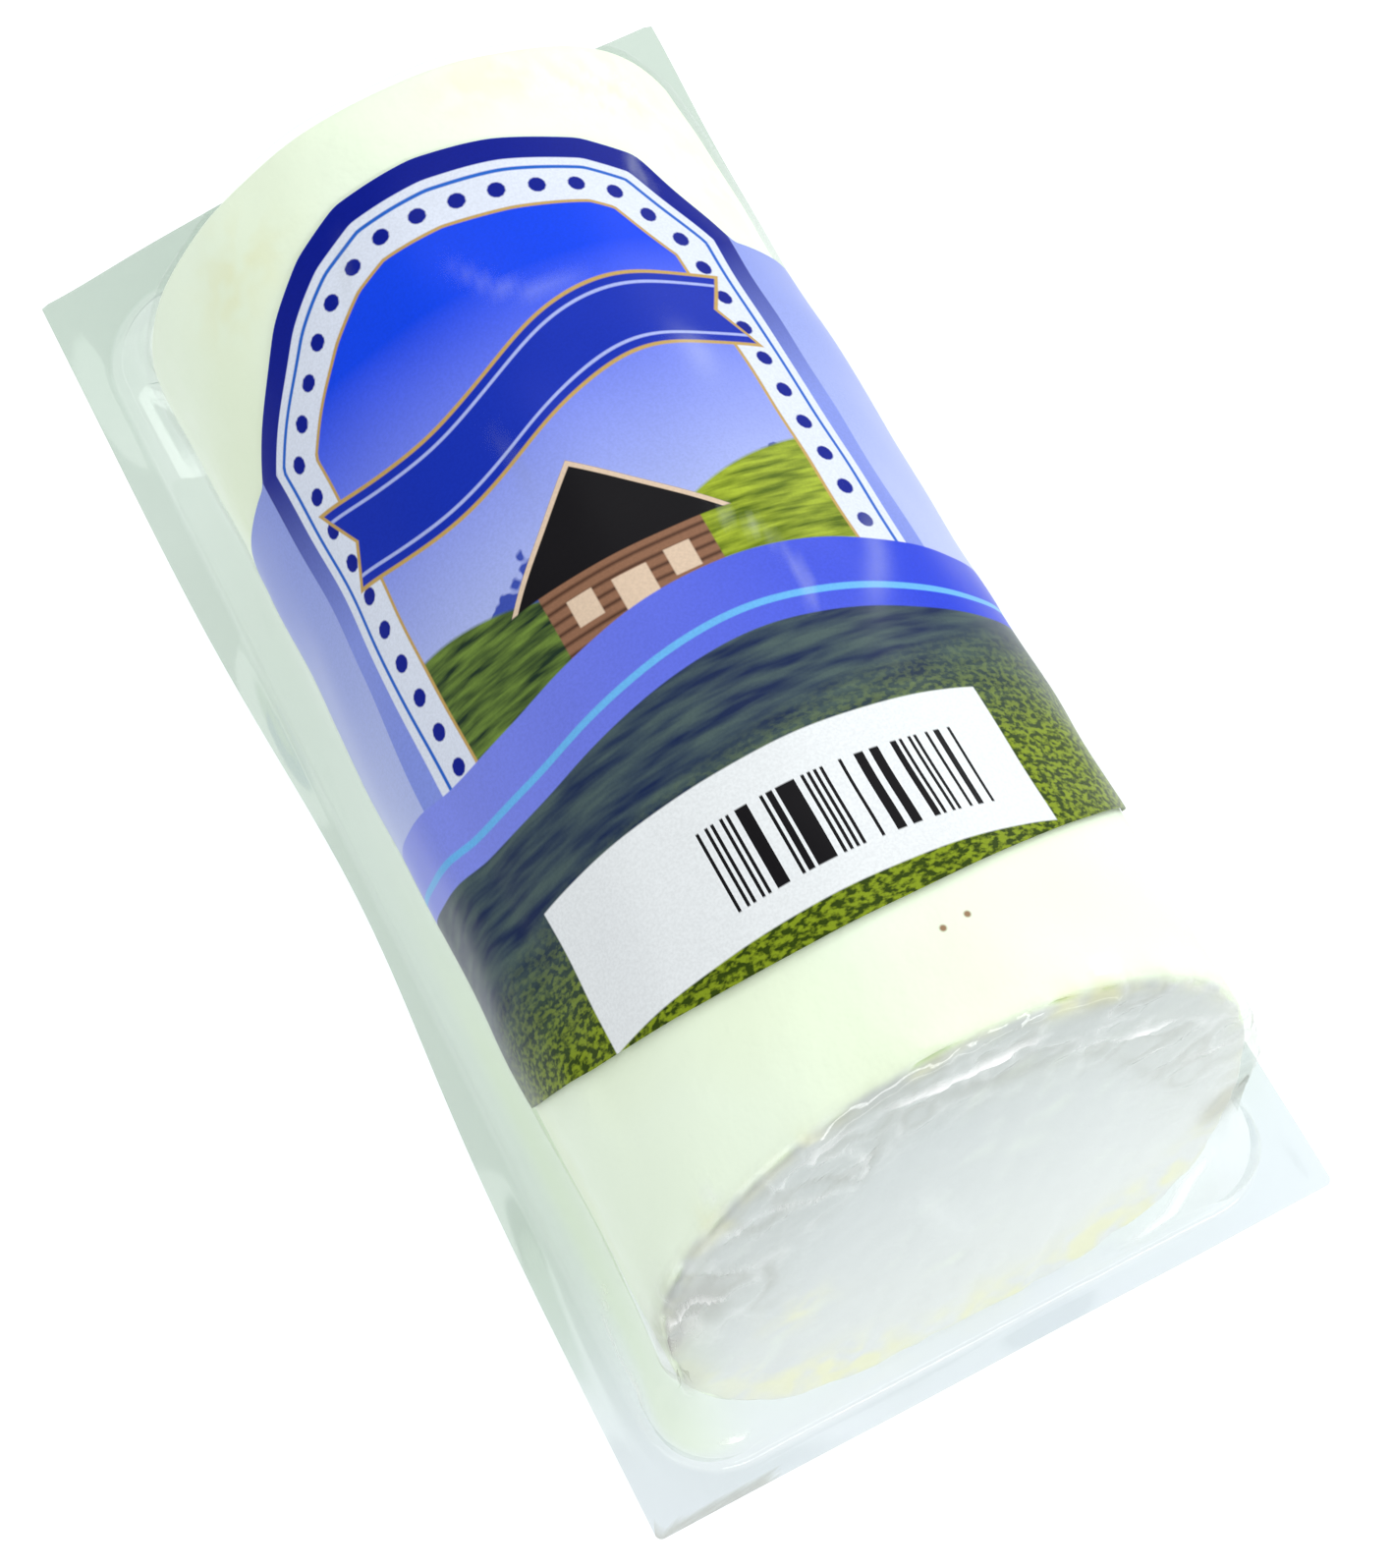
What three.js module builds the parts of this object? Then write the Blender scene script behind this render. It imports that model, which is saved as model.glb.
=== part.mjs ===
// A goat cheese log shut in a clear vacuum pack, with a printed label wrapped over its top.
// Millimetres, +Z up. The log lies along Y, its slanted near end faces -Y, and it rests on z = 0.
import * as THREE from "three";

// The pack's sealed margin: a rectangle with a slight waist, lying low in front and lifted behind,
// where it also curls up between its corners.
const PACK_WIDTH = 108;
const PACK_LENGTH = 212;
const PACK_CORNER = 1;
const SEAL_THICKNESS = 1;
const SEAL_FRONT_HEIGHT = 2.4;
const SEAL_BACK_HEIGHT = 20.5;
const SEAL_LIFT_POWER = 1.5;
const SEAL_CURL = 8;
const SEAL_CURL_START = 60;
const WAIST_DEPTH = 2.8;
const WAIST_PLACE = -4;
const WAIST_REACH = 34;

// The formed rim, where the film's walls meet the sealed margin.
const RIM_HALF_WIDTH = 48;
const RIM_FRONT = -101.5;
const RIM_BACK = 98;
const RIM_CORNER = 11;

// Behind the log the tight film reaches down its far end, so the rim is drawn in between its corners.
const RIM_BACK_HUG = 20;
const RIM_HUG_POWER = 4;

// The log: an oval section, a near end that slants out towards its foot, and an upright far end.
const LOG_HALF_WIDTH = 44.5;
const LOG_HEIGHT = 82;
const LOG_FRONT_TOP = -85.5;
const LOG_FRONT_FOOT = -99;
const LOG_BACK = 74.5;
const EDGE_ROUNDING = 1.2;

// Where the film leaves the log's sides, in degrees round from the top.
// The film of a back corner spans from there up to a point on the far end's rim.
const LEAVE_ANGLE = 100;
const BACK_TENT_ANGLE = 55;

// How far the tight film dips in between the rim and the log, at the sides and at either end.
const SIDE_DIP = 2.5;
const FRONT_DIP = 1;
const BACK_DIP = 3;

// The flat spot that the pack rests on, and how the film under the log rises from it to the rim.
const BASE_HALF_WIDTH = 22;
const BASE_FRONT_INSET = 6;
const BASE_BACK_INSET = 1.5;
const BASE_CORNER = 8;
const BASE_RISE_POWER = 1.4;

// The top of the log runs up to a ridge line that ends short of both ends.
const RIDGE_FRONT = -30;
const RIDGE_BACK = 20;

// The label: a sheet round the log's top with two shoulders and an arched crown, turned a little to the left.
// Its foot bends back towards both sides, and its arch is fuller on the right than on the left.
const LABEL_TURN = -6.5;
const LABEL_HALF_ANGLE = 91.5;
const LABEL_ARCH_HALF_ANGLE = 56.5;
const LABEL_LEFT_ARCH_POWER = 2;
const LABEL_RIGHT_ARCH_POWER = 3.4;
const LABEL_FOOT = -64.7;
const LABEL_FOOT_BEND = 10;
const LABEL_SHOULDER = 36.5;
const LABEL_CROWN = 60.2;
const LABEL_GAP = 0.3;
const LABEL_THICKNESS = 0.4;

// Mesh steps: along each stretch of a loop round the pack, over its margin, up its walls, and over its top
// and underside.
const SIDE_STEPS = 30;
const END_STEPS = 24;
const CORNER_STEPS = 6;
const SEAL_STEPS = 3;
const WALL_STEPS = 5;
const TOP_STEPS = 11;
const UNDER_STEPS = 3;
const LABEL_SHOULDER_STEPS = 8;
const LABEL_ARCH_STEPS = 24;
const LABEL_ROWS = 14;

const FILM_COLOUR = 0xe4ebe6;
const LABEL_COLOUR = 0x5a68c8;

const mix = (a, b, t) => a + (b - a) * t;
const radians = THREE.MathUtils.degToRad;
const clamp = THREE.MathUtils.clamp;

// Collects triangles with shared vertices, so that rows which meet in one line or point stay closed.
class Shell {
  constructor() {
    this.positions = [];
    this.triangles = [];
    this.places = new Map();
  }

  vertex(point) {
    const key = point.toArray().map((value) => Math.round(value * 1000)).join(" ");
    if (!this.places.has(key)) {
      this.places.set(key, this.positions.length / 3);
      this.positions.push(point.x, point.y, point.z);
    }
    return this.places.get(key);
  }

  triangle(a, b, c) {
    if (a !== b && b !== c && c !== a) this.triangles.push(a, b, c);
  }

  // Fills the band between two rows of points, with its face on the left of the first row's direction.
  band(lower, upper, closed) {
    const low = lower.map((point) => this.vertex(point));
    const high = upper.map((point) => this.vertex(point));
    const count = closed ? low.length : low.length - 1;
    for (let i = 0; i < count; i++) {
      const next = (i + 1) % low.length;
      this.triangle(low[i], low[next], high[next]);
      this.triangle(low[i], high[next], high[i]);
    }
  }

  geometry() {
    const shape = new THREE.BufferGeometry();
    shape.setAttribute("position", new THREE.Float32BufferAttribute(this.positions, 3));
    shape.setIndex(this.triangles);
    shape.computeVertexNormals();
    return shape;
  }
}

// A loop round the pack, counter-clockwise from above. Each stretch is a straight run or a corner.
const LOOP = [
  { steps: SIDE_STEPS, run: "right" },
  { steps: CORNER_STEPS, corner: [1, 1] },
  { steps: END_STEPS, run: "back" },
  { steps: CORNER_STEPS, corner: [-1, 1] },
  { steps: SIDE_STEPS, run: "left" },
  { steps: CORNER_STEPS, corner: [-1, -1] },
  { steps: END_STEPS, run: "front" },
  { steps: CORNER_STEPS, corner: [1, -1] },
];

// The stations of the loop: the stretch that each one is in, and how far along it.
const stations = LOOP.flatMap((stretch) =>
  Array.from({ length: stretch.steps }, (_, i) => ({ stretch, t: i / stretch.steps })),
);

// A rounded rectangle's point at a station, with the outward direction there.
function loopPoint({ stretch, t }, halfWidth, front, back, radius) {
  const across = halfWidth - radius;
  const low = front + radius;
  const high = back - radius;
  if (stretch.run === "right") return { x: halfWidth, y: mix(low, high, t), nx: 1, ny: 0 };
  if (stretch.run === "back") return { x: mix(across, -across, t), y: back, nx: 0, ny: 1 };
  if (stretch.run === "left") return { x: -halfWidth, y: mix(high, low, t), nx: -1, ny: 0 };
  if (stretch.run === "front") return { x: mix(-across, across, t), y: front, nx: 0, ny: -1 };
  const [sideX, sideY] = stretch.corner;
  const start = sideX === sideY ? Math.atan2(0, sideX) : Math.atan2(sideY, 0);
  const angle = start + (t * Math.PI) / 2;
  const nx = Math.cos(angle);
  const ny = Math.sin(angle);
  return { x: sideX * across + radius * nx, y: (sideY > 0 ? high : low) + radius * ny, nx, ny };
}

// The sealed margin's height at a place: low in front, lifted behind, and highest in the middle of its back.
function sealHeight(x, y) {
  const along = clamp(y / PACK_LENGTH + 0.5, 0, 1);
  const middle = 1 - clamp((2 * x) / PACK_WIDTH, -1, 1) ** 2;
  const curl = SEAL_CURL * middle ** 2 * THREE.MathUtils.smoothstep(y, SEAL_CURL_START, PACK_LENGTH / 2);
  return mix(SEAL_FRONT_HEIGHT, SEAL_BACK_HEIGHT, along ** SEAL_LIFT_POWER) + curl;
}

// The cut edge of the sealed margin, seen from above.
function sealEdge(station) {
  const { x, y } = loopPoint(station, PACK_WIDTH / 2, -PACK_LENGTH / 2, PACK_LENGTH / 2, PACK_CORNER);
  const waist = WAIST_DEPTH * Math.exp(-(((y - WAIST_PLACE) / WAIST_REACH) ** 2));
  return new THREE.Vector2(x - Math.sign(x) * waist, y);
}

// How fully the film hugs the log's far end at a station: 1 in the middle of the back run, 0 elsewhere.
function backHug(station) {
  if (station.stretch.run !== "back") return 0;
  const { x } = loopPoint(station, RIM_HALF_WIDTH, RIM_FRONT, RIM_BACK, RIM_CORNER);
  return (1 - Math.abs(x / (RIM_HALF_WIDTH - RIM_CORNER)) ** RIM_HUG_POWER) ** 2;
}

// A point of the sealed margin, a share of the way from the rim out to the cut edge, lifted or lowered.
function sealPoint(station, share, lift) {
  const loop = loopPoint(station, RIM_HALF_WIDTH, RIM_FRONT, RIM_BACK, RIM_CORNER);
  const rim = new THREE.Vector2(loop.x, loop.y - RIM_BACK_HUG * backHug(station));
  const { x, y } = rim.lerp(sealEdge(station), share);
  return new THREE.Vector3(x, y, sealHeight(x, y) + lift);
}

// The log's oval section, an angle in degrees round from its top, grown outwards by a clearance.
function logSection(angle, grow = 0) {
  const half = LOG_HEIGHT / 2;
  const turn = radians(angle);
  return { x: (LOG_HALF_WIDTH + grow) * Math.sin(turn), z: half + (half + grow) * Math.cos(turn) };
}

// The near end's slant: how far forward it stands at a height.
const frontFace = (z) => mix(LOG_FRONT_FOOT, LOG_FRONT_TOP, z / LOG_HEIGHT);

// The edge where the film leaves the log: along both sides, and over the rims of both ends.
// A front corner of the pack gathers at the log's own corner. A back corner fans out up the far end's rim.
function leavingEdge({ stretch, t }) {
  const front = frontFace(logSection(LEAVE_ANGLE).z);
  if (stretch.corner) {
    const [sideX, sideY] = stretch.corner;
    if (sideY < 0) return { angle: sideX * LEAVE_ANGLE, y: front };
    return { angle: sideX * mix(LEAVE_ANGLE, BACK_TENT_ANGLE, sideX > 0 ? t : 1 - t), y: LOG_BACK };
  }
  if (stretch.run === "right") return { angle: LEAVE_ANGLE, y: mix(front, LOG_BACK, t) };
  if (stretch.run === "left") return { angle: -LEAVE_ANGLE, y: mix(LOG_BACK, front, t) };
  if (stretch.run === "back") return { angle: mix(BACK_TENT_ANGLE, -BACK_TENT_ANGLE, t), y: LOG_BACK };
  const angle = mix(-LEAVE_ANGLE, LEAVE_ANGLE, t);
  return { angle, y: frontFace(logSection(angle).z) };
}

// A point of the log's top, a share of the way from the leaving edge up to the ridge.
// The rims of the ends are rounded off towards the top.
function topPoint(station, share) {
  const edge = leavingEdge(station);
  const ridge = clamp(edge.y, RIDGE_FRONT, RIDGE_BACK);
  const { x, z } = logSection(edge.angle * (1 - share));
  const drop = share === 0 ? EDGE_ROUNDING * Math.max(0, Math.cos(radians(edge.angle))) : 0;
  return new THREE.Vector3(x, mix(edge.y, ridge, share), z - drop);
}

// A point of the film's wall, a share of the way from the rim up to the leaving edge, dipping inwards.
function wallPoint(station, share) {
  const { nx, ny } = loopPoint(station, RIM_HALF_WIDTH, RIM_FRONT, RIM_BACK, RIM_CORNER);
  const endDip = ny > 0 ? mix(BACK_DIP, FRONT_DIP, backHug(station)) : FRONT_DIP;
  const dip = (SIDE_DIP * nx * nx + endDip * ny * ny) * 4 * share * (1 - share);
  const point = sealPoint(station, 0, SEAL_THICKNESS / 2).lerp(topPoint(station, 0), share);
  return point.add(new THREE.Vector3(-nx * dip, -ny * dip, 0));
}

// A point of the film under the log, a share of the way from the flat spot out to the rim.
function underPoint(station, share) {
  const base = loopPoint(
    station,
    BASE_HALF_WIDTH,
    LOG_FRONT_FOOT + BASE_FRONT_INSET,
    LOG_BACK - BASE_BACK_INSET,
    BASE_CORNER,
  );
  const rim = sealPoint(station, 0, -SEAL_THICKNESS / 2);
  const height = rim.z * share ** BASE_RISE_POWER;
  return new THREE.Vector3(mix(base.x, rim.x, share), mix(base.y, rim.y, share), height);
}

// The middle line of the flat spot.
function baseLine(station) {
  const { y } = underPoint(station, 0);
  return new THREE.Vector3(0, clamp(y, RIDGE_FRONT, RIDGE_BACK), 0);
}

// The whole pack as one closed body: rows of points from the flat spot, round the margin, up to the ridge.
function vacuumPack() {
  const row = (pointAt) => stations.map(pointAt);
  const half = SEAL_THICKNESS / 2;
  const rows = [row(baseLine)];
  for (let i = 0; i <= UNDER_STEPS; i++) rows.push(row((s) => underPoint(s, i / UNDER_STEPS)));
  for (let i = 1; i <= SEAL_STEPS; i++) rows.push(row((s) => sealPoint(s, i / SEAL_STEPS, -half)));
  for (let i = SEAL_STEPS; i > 0; i--) rows.push(row((s) => sealPoint(s, i / SEAL_STEPS, half)));
  for (let i = 0; i < WALL_STEPS; i++) rows.push(row((s) => wallPoint(s, i / WALL_STEPS)));
  for (let i = 0; i <= TOP_STEPS; i++) rows.push(row((s) => topPoint(s, i / TOP_STEPS)));
  const shell = new Shell();
  for (let i = 1; i < rows.length; i++) shell.band(rows[i - 1], rows[i], true);
  return shell.geometry();
}

// The label's columns: degrees from its middle, evenly over the shoulders and closer at the arch's ends.
function labelColumns() {
  const columns = [];
  for (let i = 0; i < LABEL_SHOULDER_STEPS; i++)
    columns.push(mix(-LABEL_HALF_ANGLE, -LABEL_ARCH_HALF_ANGLE, i / LABEL_SHOULDER_STEPS));
  for (let i = 0; i <= LABEL_ARCH_STEPS; i++)
    columns.push(-LABEL_ARCH_HALF_ANGLE * Math.cos((Math.PI * i) / LABEL_ARCH_STEPS));
  for (let i = 1; i <= LABEL_SHOULDER_STEPS; i++)
    columns.push(mix(LABEL_ARCH_HALF_ANGLE, LABEL_HALF_ANGLE, i / LABEL_SHOULDER_STEPS));
  return columns;
}

// The label's upper edge at a column: level shoulders with an arch between them.
function labelTop(column) {
  const power = column < 0 ? LABEL_LEFT_ARCH_POWER : LABEL_RIGHT_ARCH_POWER;
  const rise = 1 - Math.abs(column / LABEL_ARCH_HALF_ANGLE) ** power;
  return mix(LABEL_SHOULDER, LABEL_CROWN, Math.max(0, rise));
}

// The label's lower edge at a column: it bends back with the square of the angle from the log's top.
const labelFoot = (column) => LABEL_FOOT + LABEL_FOOT_BEND * ((column + LABEL_TURN) / 90) ** 2;

// The label as one closed thin body: an inner and an outer sheet joined round their edge.
function label() {
  const columns = labelColumns();
  const sheetRow = (i, clearance) =>
    columns.map((column) => {
      const { x, z } = logSection(column + LABEL_TURN, clearance);
      return new THREE.Vector3(x, mix(labelFoot(column), labelTop(column), i / LABEL_ROWS), z);
    });
  const shell = new Shell();
  const outer = LABEL_GAP + LABEL_THICKNESS;
  for (let i = 0; i < LABEL_ROWS; i++) {
    shell.band(sheetRow(i, outer), sheetRow(i + 1, outer), false);
    shell.band(sheetRow(i + 1, LABEL_GAP), sheetRow(i, LABEL_GAP), false);
  }
  shell.band(sheetRow(0, LABEL_GAP), sheetRow(0, outer), false);
  shell.band(sheetRow(LABEL_ROWS, outer), sheetRow(LABEL_ROWS, LABEL_GAP), false);
  const edgeColumn = (column, clearance) =>
    Array.from({ length: LABEL_ROWS + 1 }, (_, i) => sheetRow(i, clearance)[column]);
  const last = columns.length - 1;
  shell.band(edgeColumn(0, outer), edgeColumn(0, LABEL_GAP), false);
  shell.band(edgeColumn(last, LABEL_GAP), edgeColumn(last, outer), false);
  return shell.geometry();
}

function piece(name, geometry, material) {
  const mesh = new THREE.Mesh(geometry, material);
  mesh.name = name;
  return mesh;
}

const film = new THREE.MeshStandardMaterial({ color: FILM_COLOUR, roughness: 0.12, metalness: 0 });
const print = new THREE.MeshStandardMaterial({ color: LABEL_COLOUR, roughness: 0.3, metalness: 0 });

const goatCheeseLog = new THREE.Group();
goatCheeseLog.add(piece("vacuum_pack", vacuumPack(), film), piece("label", label(), print));

export default goatCheeseLog;
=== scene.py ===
"""A cheese log in a clear vacuum pack with a printed label: an add-on of three pieces and a stage."""
import math
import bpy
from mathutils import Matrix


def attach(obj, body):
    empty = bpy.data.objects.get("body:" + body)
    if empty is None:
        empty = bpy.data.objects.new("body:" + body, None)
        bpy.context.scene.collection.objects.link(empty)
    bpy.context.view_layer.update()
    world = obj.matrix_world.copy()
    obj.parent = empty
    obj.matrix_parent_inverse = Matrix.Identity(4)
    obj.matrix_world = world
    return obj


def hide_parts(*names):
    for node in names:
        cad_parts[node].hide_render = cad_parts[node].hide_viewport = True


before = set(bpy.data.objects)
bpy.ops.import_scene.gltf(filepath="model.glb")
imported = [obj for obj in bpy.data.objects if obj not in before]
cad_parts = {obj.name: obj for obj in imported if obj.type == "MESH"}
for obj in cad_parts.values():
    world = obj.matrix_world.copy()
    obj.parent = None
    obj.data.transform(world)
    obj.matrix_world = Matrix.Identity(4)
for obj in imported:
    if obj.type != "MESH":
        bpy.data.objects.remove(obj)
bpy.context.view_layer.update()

from types import SimpleNamespace

import bpy
import numpy as np
from bpy.props import FloatProperty, FloatVectorProperty, PointerProperty
from mathutils import Matrix, Vector

bl_info = {
    "name": "Vacuum-packed cheese log",
    "version": (1, 0, 0),
    "blender": (4, 5, 0),
    "location": "View3D > Sidebar > Cheese pack",
    "description": "Builds a cheese log, its label and its clear vacuum pack",
    "category": "Add Mesh",
}

MM = 0.001

# The film's stations round the pack and its rows up the pack.
SIDE_STEPS = 90
END_STEPS = 150
CORNER_STEPS = 16
TENT_STEPS = 34
UNDER_ROWS = 9
SEAL_ROWS = 7
FILLET_ROWS = 4
WALL_ROWS = 110

# A film row's share is its way up the wall, from 0 to 1, or one of these marks.
UNDER_SHARE = -1.0
SEAL_UNDER_SHARE = -0.5
FILLET_SHARE = 0.02
LOG_SHARE = 2.0
RELIEF_START = (0.0, 0.06)
LUMPS_START = (0.1, 1.0)

# An outward direction this close to an axis belongs to a straight run.
STRAIGHT = 0.9999

# Forms of the pack, in millimetres and degrees.
PACK_CORNER = 1.0
SEAL_THICKNESS = 0.3
SEAL_LIFT_POWER = 1.5
SEAL_CURL = 8.0
SEAL_CURL_START = 60.0
SEAL_WAVE = 0.35
SEAL_WAVE_START = 6.0
SHARP_ANGLE = 50.0
WAIST_DEPTH = 2.8
WAIST_PLACE = -4.0
WAIST_REACH = 34.0
RIM_HALF_WIDTH = 48.0
RIM_FRONT = -101.5
RIM_BACK = 98.0
RIM_CORNER = 11.0
RIM_FILLET = 1.6
RIM_BACK_HUG = 20.0
RIM_HUG_POWER = 4.0
LEAVE_ANGLE = 100.0
SIDE_DIP = 2.5
FRONT_DIP = 1.0
BACK_DIP = 3.0
BASE_HALF_WIDTH = 22.0
BASE_FRONT_INSET = 6.0
BASE_BACK_INSET = 1.5
BASE_CORNER = 8.0
BASE_RISE_POWER = 1.4
END_ROUNDING = 2.8
END_SHRINK = 1.3
TIP_LIFT = 2.5
TIP_REACH = 16.0
SIDE_CREASE = 1.1
SIDE_CREASE_ANGLES = (-88.0, -66.0, -58.0)
SIDE_CREASE_PLACES = (-84.0, -58.0, -14.0, 4.0)

# Seeded patterns: a wavelength in millimetres and a seed.
BROAD_LUMPS = (46.0, 3)
SMALL_LUMPS = (17.0, 8)
SEAL_RIPPLE = (38.0, 21)
FOLD_WARP = (24.0, 31)
FINE_FOLDS = (6.0, 41)
CRINKLES = (9.0, 71)
HAZE_PATCHES = (32.0, 61)
SMALL_RAGS = (5.0, 51)
BROAD_RAGS = (13.0, 53)

# Round bumps of the film, and round patches of painted shade over its folds and pockets: a centre, a reach,
# and a height or strength.
FILM_POCKETS = (
    (42.0, -97.0, 10.0, 7.0, 3.0), (-43.0, -96.0, 10.0, 8.0, 2.4),
    (44.0, -90.0, 34.0, 9.0, 1.2), (-44.0, -91.0, 30.0, 9.0, 1.2),
    (40.0, 84.0, 30.0, 14.0, 1.5), (-38.0, 84.0, 30.0, 14.0, 1.5),
)
# Painted shade over the pockets, where the film stands off the cheese and its side lies in shadow.
POCKET_PAINTED_SHADES = (
    (-44.0, -91.0, 46.0, 5.0, 0.8), (-44.0, -93.5, 32.0, 4.5, 0.7), (39.0, -94.0, 30.0, 4.0, 0.9),
    (-38.0, -90.0, 54.0, 5.0, 0.8), (20.0, -86.5, 76.5, 3.0, 0.5), (28.0, -87.0, 73.0, 3.0, 0.4),
    (38.0, -97.0, 9.0, 6.0, 0.2),
)

# Creases of the film, raised and with painted highlights along them, and folds below zero, sunk and with
# painted shade along them: a bent line, a width and a strength. The places are across and up on the near
# face, along and up on the left wall, and across and along on the log.
FACE_STROKES = (
    (((-10.5, 78.0), (-7.5, 78.0), (-3.5, 77.0), (0.0, 77.0),
      (3.5, 76.0), (7.5, 75.5), (12.5, 74.5)), 0.8, 1.0),
    (((23.0, 64.0), (26.5, 62.5), (30.5, 62.0)), 0.8, 0.9),
    (((-35.0, 65.5), (-29.0, 69.0), (-23.0, 66.5), (-14.0, 61.5)), 0.7, 0.35),
    (((-26.5, 71.0), (-22.5, 75.0), (-18.5, 76.5), (-16.0, 77.5), (-13.0, 77.0), (-10.0, 77.5)), 0.7, 0.4),
    (((-18.5, 71.5), (-18.0, 74.5), (-15.0, 72.5), (-13.0, 67.5), (-14.0, 63.5), (-17.5, 67.5)), 0.7, 0.4),
    (((-6.0, 51.0), (-5.0, 44.0), (-1.5, 34.0)), 2.0, 0.2),
    (((23.0, 5.5), (26.5, 7.0), (30.0, 8.5), (33.0, 15.0), (36.5, 18.5)), 1.3, 0.9),
    (((45.5, 14.0), (43.5, 13.0), (41.0, 9.0), (37.0, 4.0),
      (30.5, 4.5), (23.5, 4.5), (15.0, 2.5), (4.0, 3.0)), 0.6, 0.35),
    (((-40.0, 12.0), (-37.0, 10.0)), 0.7, 0.9),
    (((-44.0, 47.0), (-39.5, 54.0), (-34.0, 48.0)), 0.8, 0.4),
    (((19.0, 65.0), (19.5, 70.0), (25.5, 68.0)), 0.8, 0.3),
    (((31.0, 50.0), (36.0, 48.0), (42.0, 45.5)), 0.9, 0.3),
    (((-42.5, 52.5), (-38.0, 51.0), (-34.0, 47.0)), 1.0, -0.5),
    (((-44.5, 35.0), (-43.5, 44.0), (-42.5, 38.5)), 2.2, -0.7),
    (((-43.5, 50.0), (-40.5, 58.0), (-36.0, 65.5)), 1.8, -0.4),
    (((-28.5, 54.0), (-28.0, 49.0), (-29.0, 46.0)), 0.9, -0.45),
    (((-26.5, 72.0), (-19.0, 68.5), (-14.0, 62.5), (-10.5, 73.0), (-7.5, 73.5)), 0.8, -0.35),
    (((-10.0, 76.0), (-3.5, 74.0), (5.5, 69.5), (17.0, 64.5)), 1.3, -0.3),
    (((36.0, 25.5), (38.5, 30.0), (42.0, 35.5)), 2.6, -0.6),
    (((-16.5, 78.5), (-8.0, 80.5), (2.0, 81.5), (14.5, 78.5), (22.5, 75.5)), 1.0, -0.25),
    (((17.0, 66.0), (24.0, 56.0), (34.0, 36.5)), 1.0, -0.2),
    (((-37.5, 63.5), (-31.5, 65.5), (-26.0, 65.5)), 1.1, -0.3),
)
LEFT_STROKES_FROM = 44.0
LEFT_STROKES = (
    (((-73.0, 12.5), (-76.0, 7.0), (-81.5, 5.5), (-87.0, 7.0), (-94.0, 3.5), (-98.5, 2.5)), 0.7, 0.5),
    (((-89.0, 3.5), (-93.5, 3.0)), 0.7, 0.8),
)
TOP_STROKES = (
    (((19.0, 71.0), (21.0, 66.5), (25.0, 62.5), (27.5, 54.5)), 0.8, 0.4),
    (((22.5, 71.0), (26.5, 66.0), (30.5, 58.0)), 0.7, 0.35),
    (((27.0, 69.5), (32.0, 64.5), (34.5, 58.5)), 0.8, 0.45),
    (((16.0, 69.0), (19.5, 62.5), (22.5, 56.5)), 0.7, 0.3),
    (((21.0, 70.0), (23.5, 65.0), (28.0, 57.0)), 0.9, -0.3),
    (((25.0, 69.0), (29.5, 62.5), (32.5, 57.0)), 0.9, -0.3),
    (((-32.0, -82.0), (-32.0, -83.5), (-31.0, -85.0)), 0.5, 0.5),
    (((-5.5, 42.5), (-2.0, 36.5), (2.5, 33.5), (9.5, 33.5)), 1.0, 0.14),
    (((18.0, 21.5), (19.0, 17.5), (18.0, 13.5)), 2.0, 0.2),
    (((26.5, 53.0), (25.5, 49.0), (26.5, 46.0)), 0.8, 0.25),
    (((14.0, -15.5), (15.0, -20.0), (13.5, -24.5)), 0.6, 0.3),
    (((8.0, -6.5), (12.5, -11.0), (14.0, -14.0)), 0.6, 0.25),
    (((-11.5, 17.5), (-10.5, 12.5), (-10.5, 6.5)), 1.0, -0.3),
    (((-16.0, 55.5), (-18.0, 49.0), (-19.5, 45.5)), 1.0, -0.25),
    (((28.5, -12.0), (25.5, -20.0), (21.0, -27.0)), 1.6, 0.2),
)

# The near face: how deep it reaches, where its upper part starts, and its crumpled band inside the rim.
FACE_DEPTH = (0.5, 3.5)
UPPER_PART = (-0.35, 0.25)
BAND_START = (0.5, 0.75)
BAND_END = (1.0, 1.08)
BAND_FOLDS = 3.2
BAND_WARP = 0.8
# Painted shade over the crumpled band, and more over patches at a level of the crinkle pattern.
BAND_PAINTED_SHADE = 0.3
BAND_PATCH_PAINTED_SHADE = 0.35
BAND_PATCH_LEVEL = 0.9
BAND_PATCH_SPREAD = 0.5
FOLD_HEIGHT = 0.4
FINE_FOLD_HEIGHT = 0.2
CRINKLE_WIDTH = 0.35
CRINKLE_HEIGHT = 0.6
# Painted highlight: how white the crinkles' lines are painted.
CRINKLE_HIGHLIGHT = 0.3
TOP_STROKE_HEIGHT = 0.3
STROKE_TAPER = 0.03

# Looks of the film: shares of the full effect, and the runs over which they change.
WALL_TINT = 0.75
WALL_FADE = 0.5
WALL_FADE_RUN = (0.15, 1.0)
FACE_TINT = 0.3
PLAIN_TINT = 0.8
DENSE_TINT = 0.2
DENSE_BACK = (60.0, 95.0)
DENSE_RIGHT = (-45.0, 10.0)
FRONT_RUN = (-100.0, -60.0)
FAR_RUN = (50.0, 80.0)
FAR_CUT = 0.15
RIGHT_RUN = (40.0, 46.0)
RIGHT_START = (-60.0, 0.0)
RIGHT_END = (60.0, 85.0)
RIGHT_CUT = 0.4
FAR_SHINE_CUT = 0.7
FACE_SHINE = 0.6
RIM_SHINE = 0.7
RIM_SHINE_RUN = (2.0, 8.0)
# A scalloped strip of painted shade along the near left edge of the margin.
NEAR_STRIP = 1.0
NEAR_STRIP_END = -36.0
NEAR_STRIP_SCALLOP = 4.0
NEAR_STRIP_PAINTED_SHADES = (0.35, 0.3)
HAZE_LEAST = 0.65
HAZE_SPREAD = 0.7
HAZE_RUN = (-1.5, 1.5)
# Where the film takes a warm painted reflection of the cheese: across, along, and up the wall.
WARM_ACROSS = (-46.0, -34.0)
WARM_ALONG = (-45.0, 10.0)
WARM_UP = (0.0, 0.25)

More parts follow.
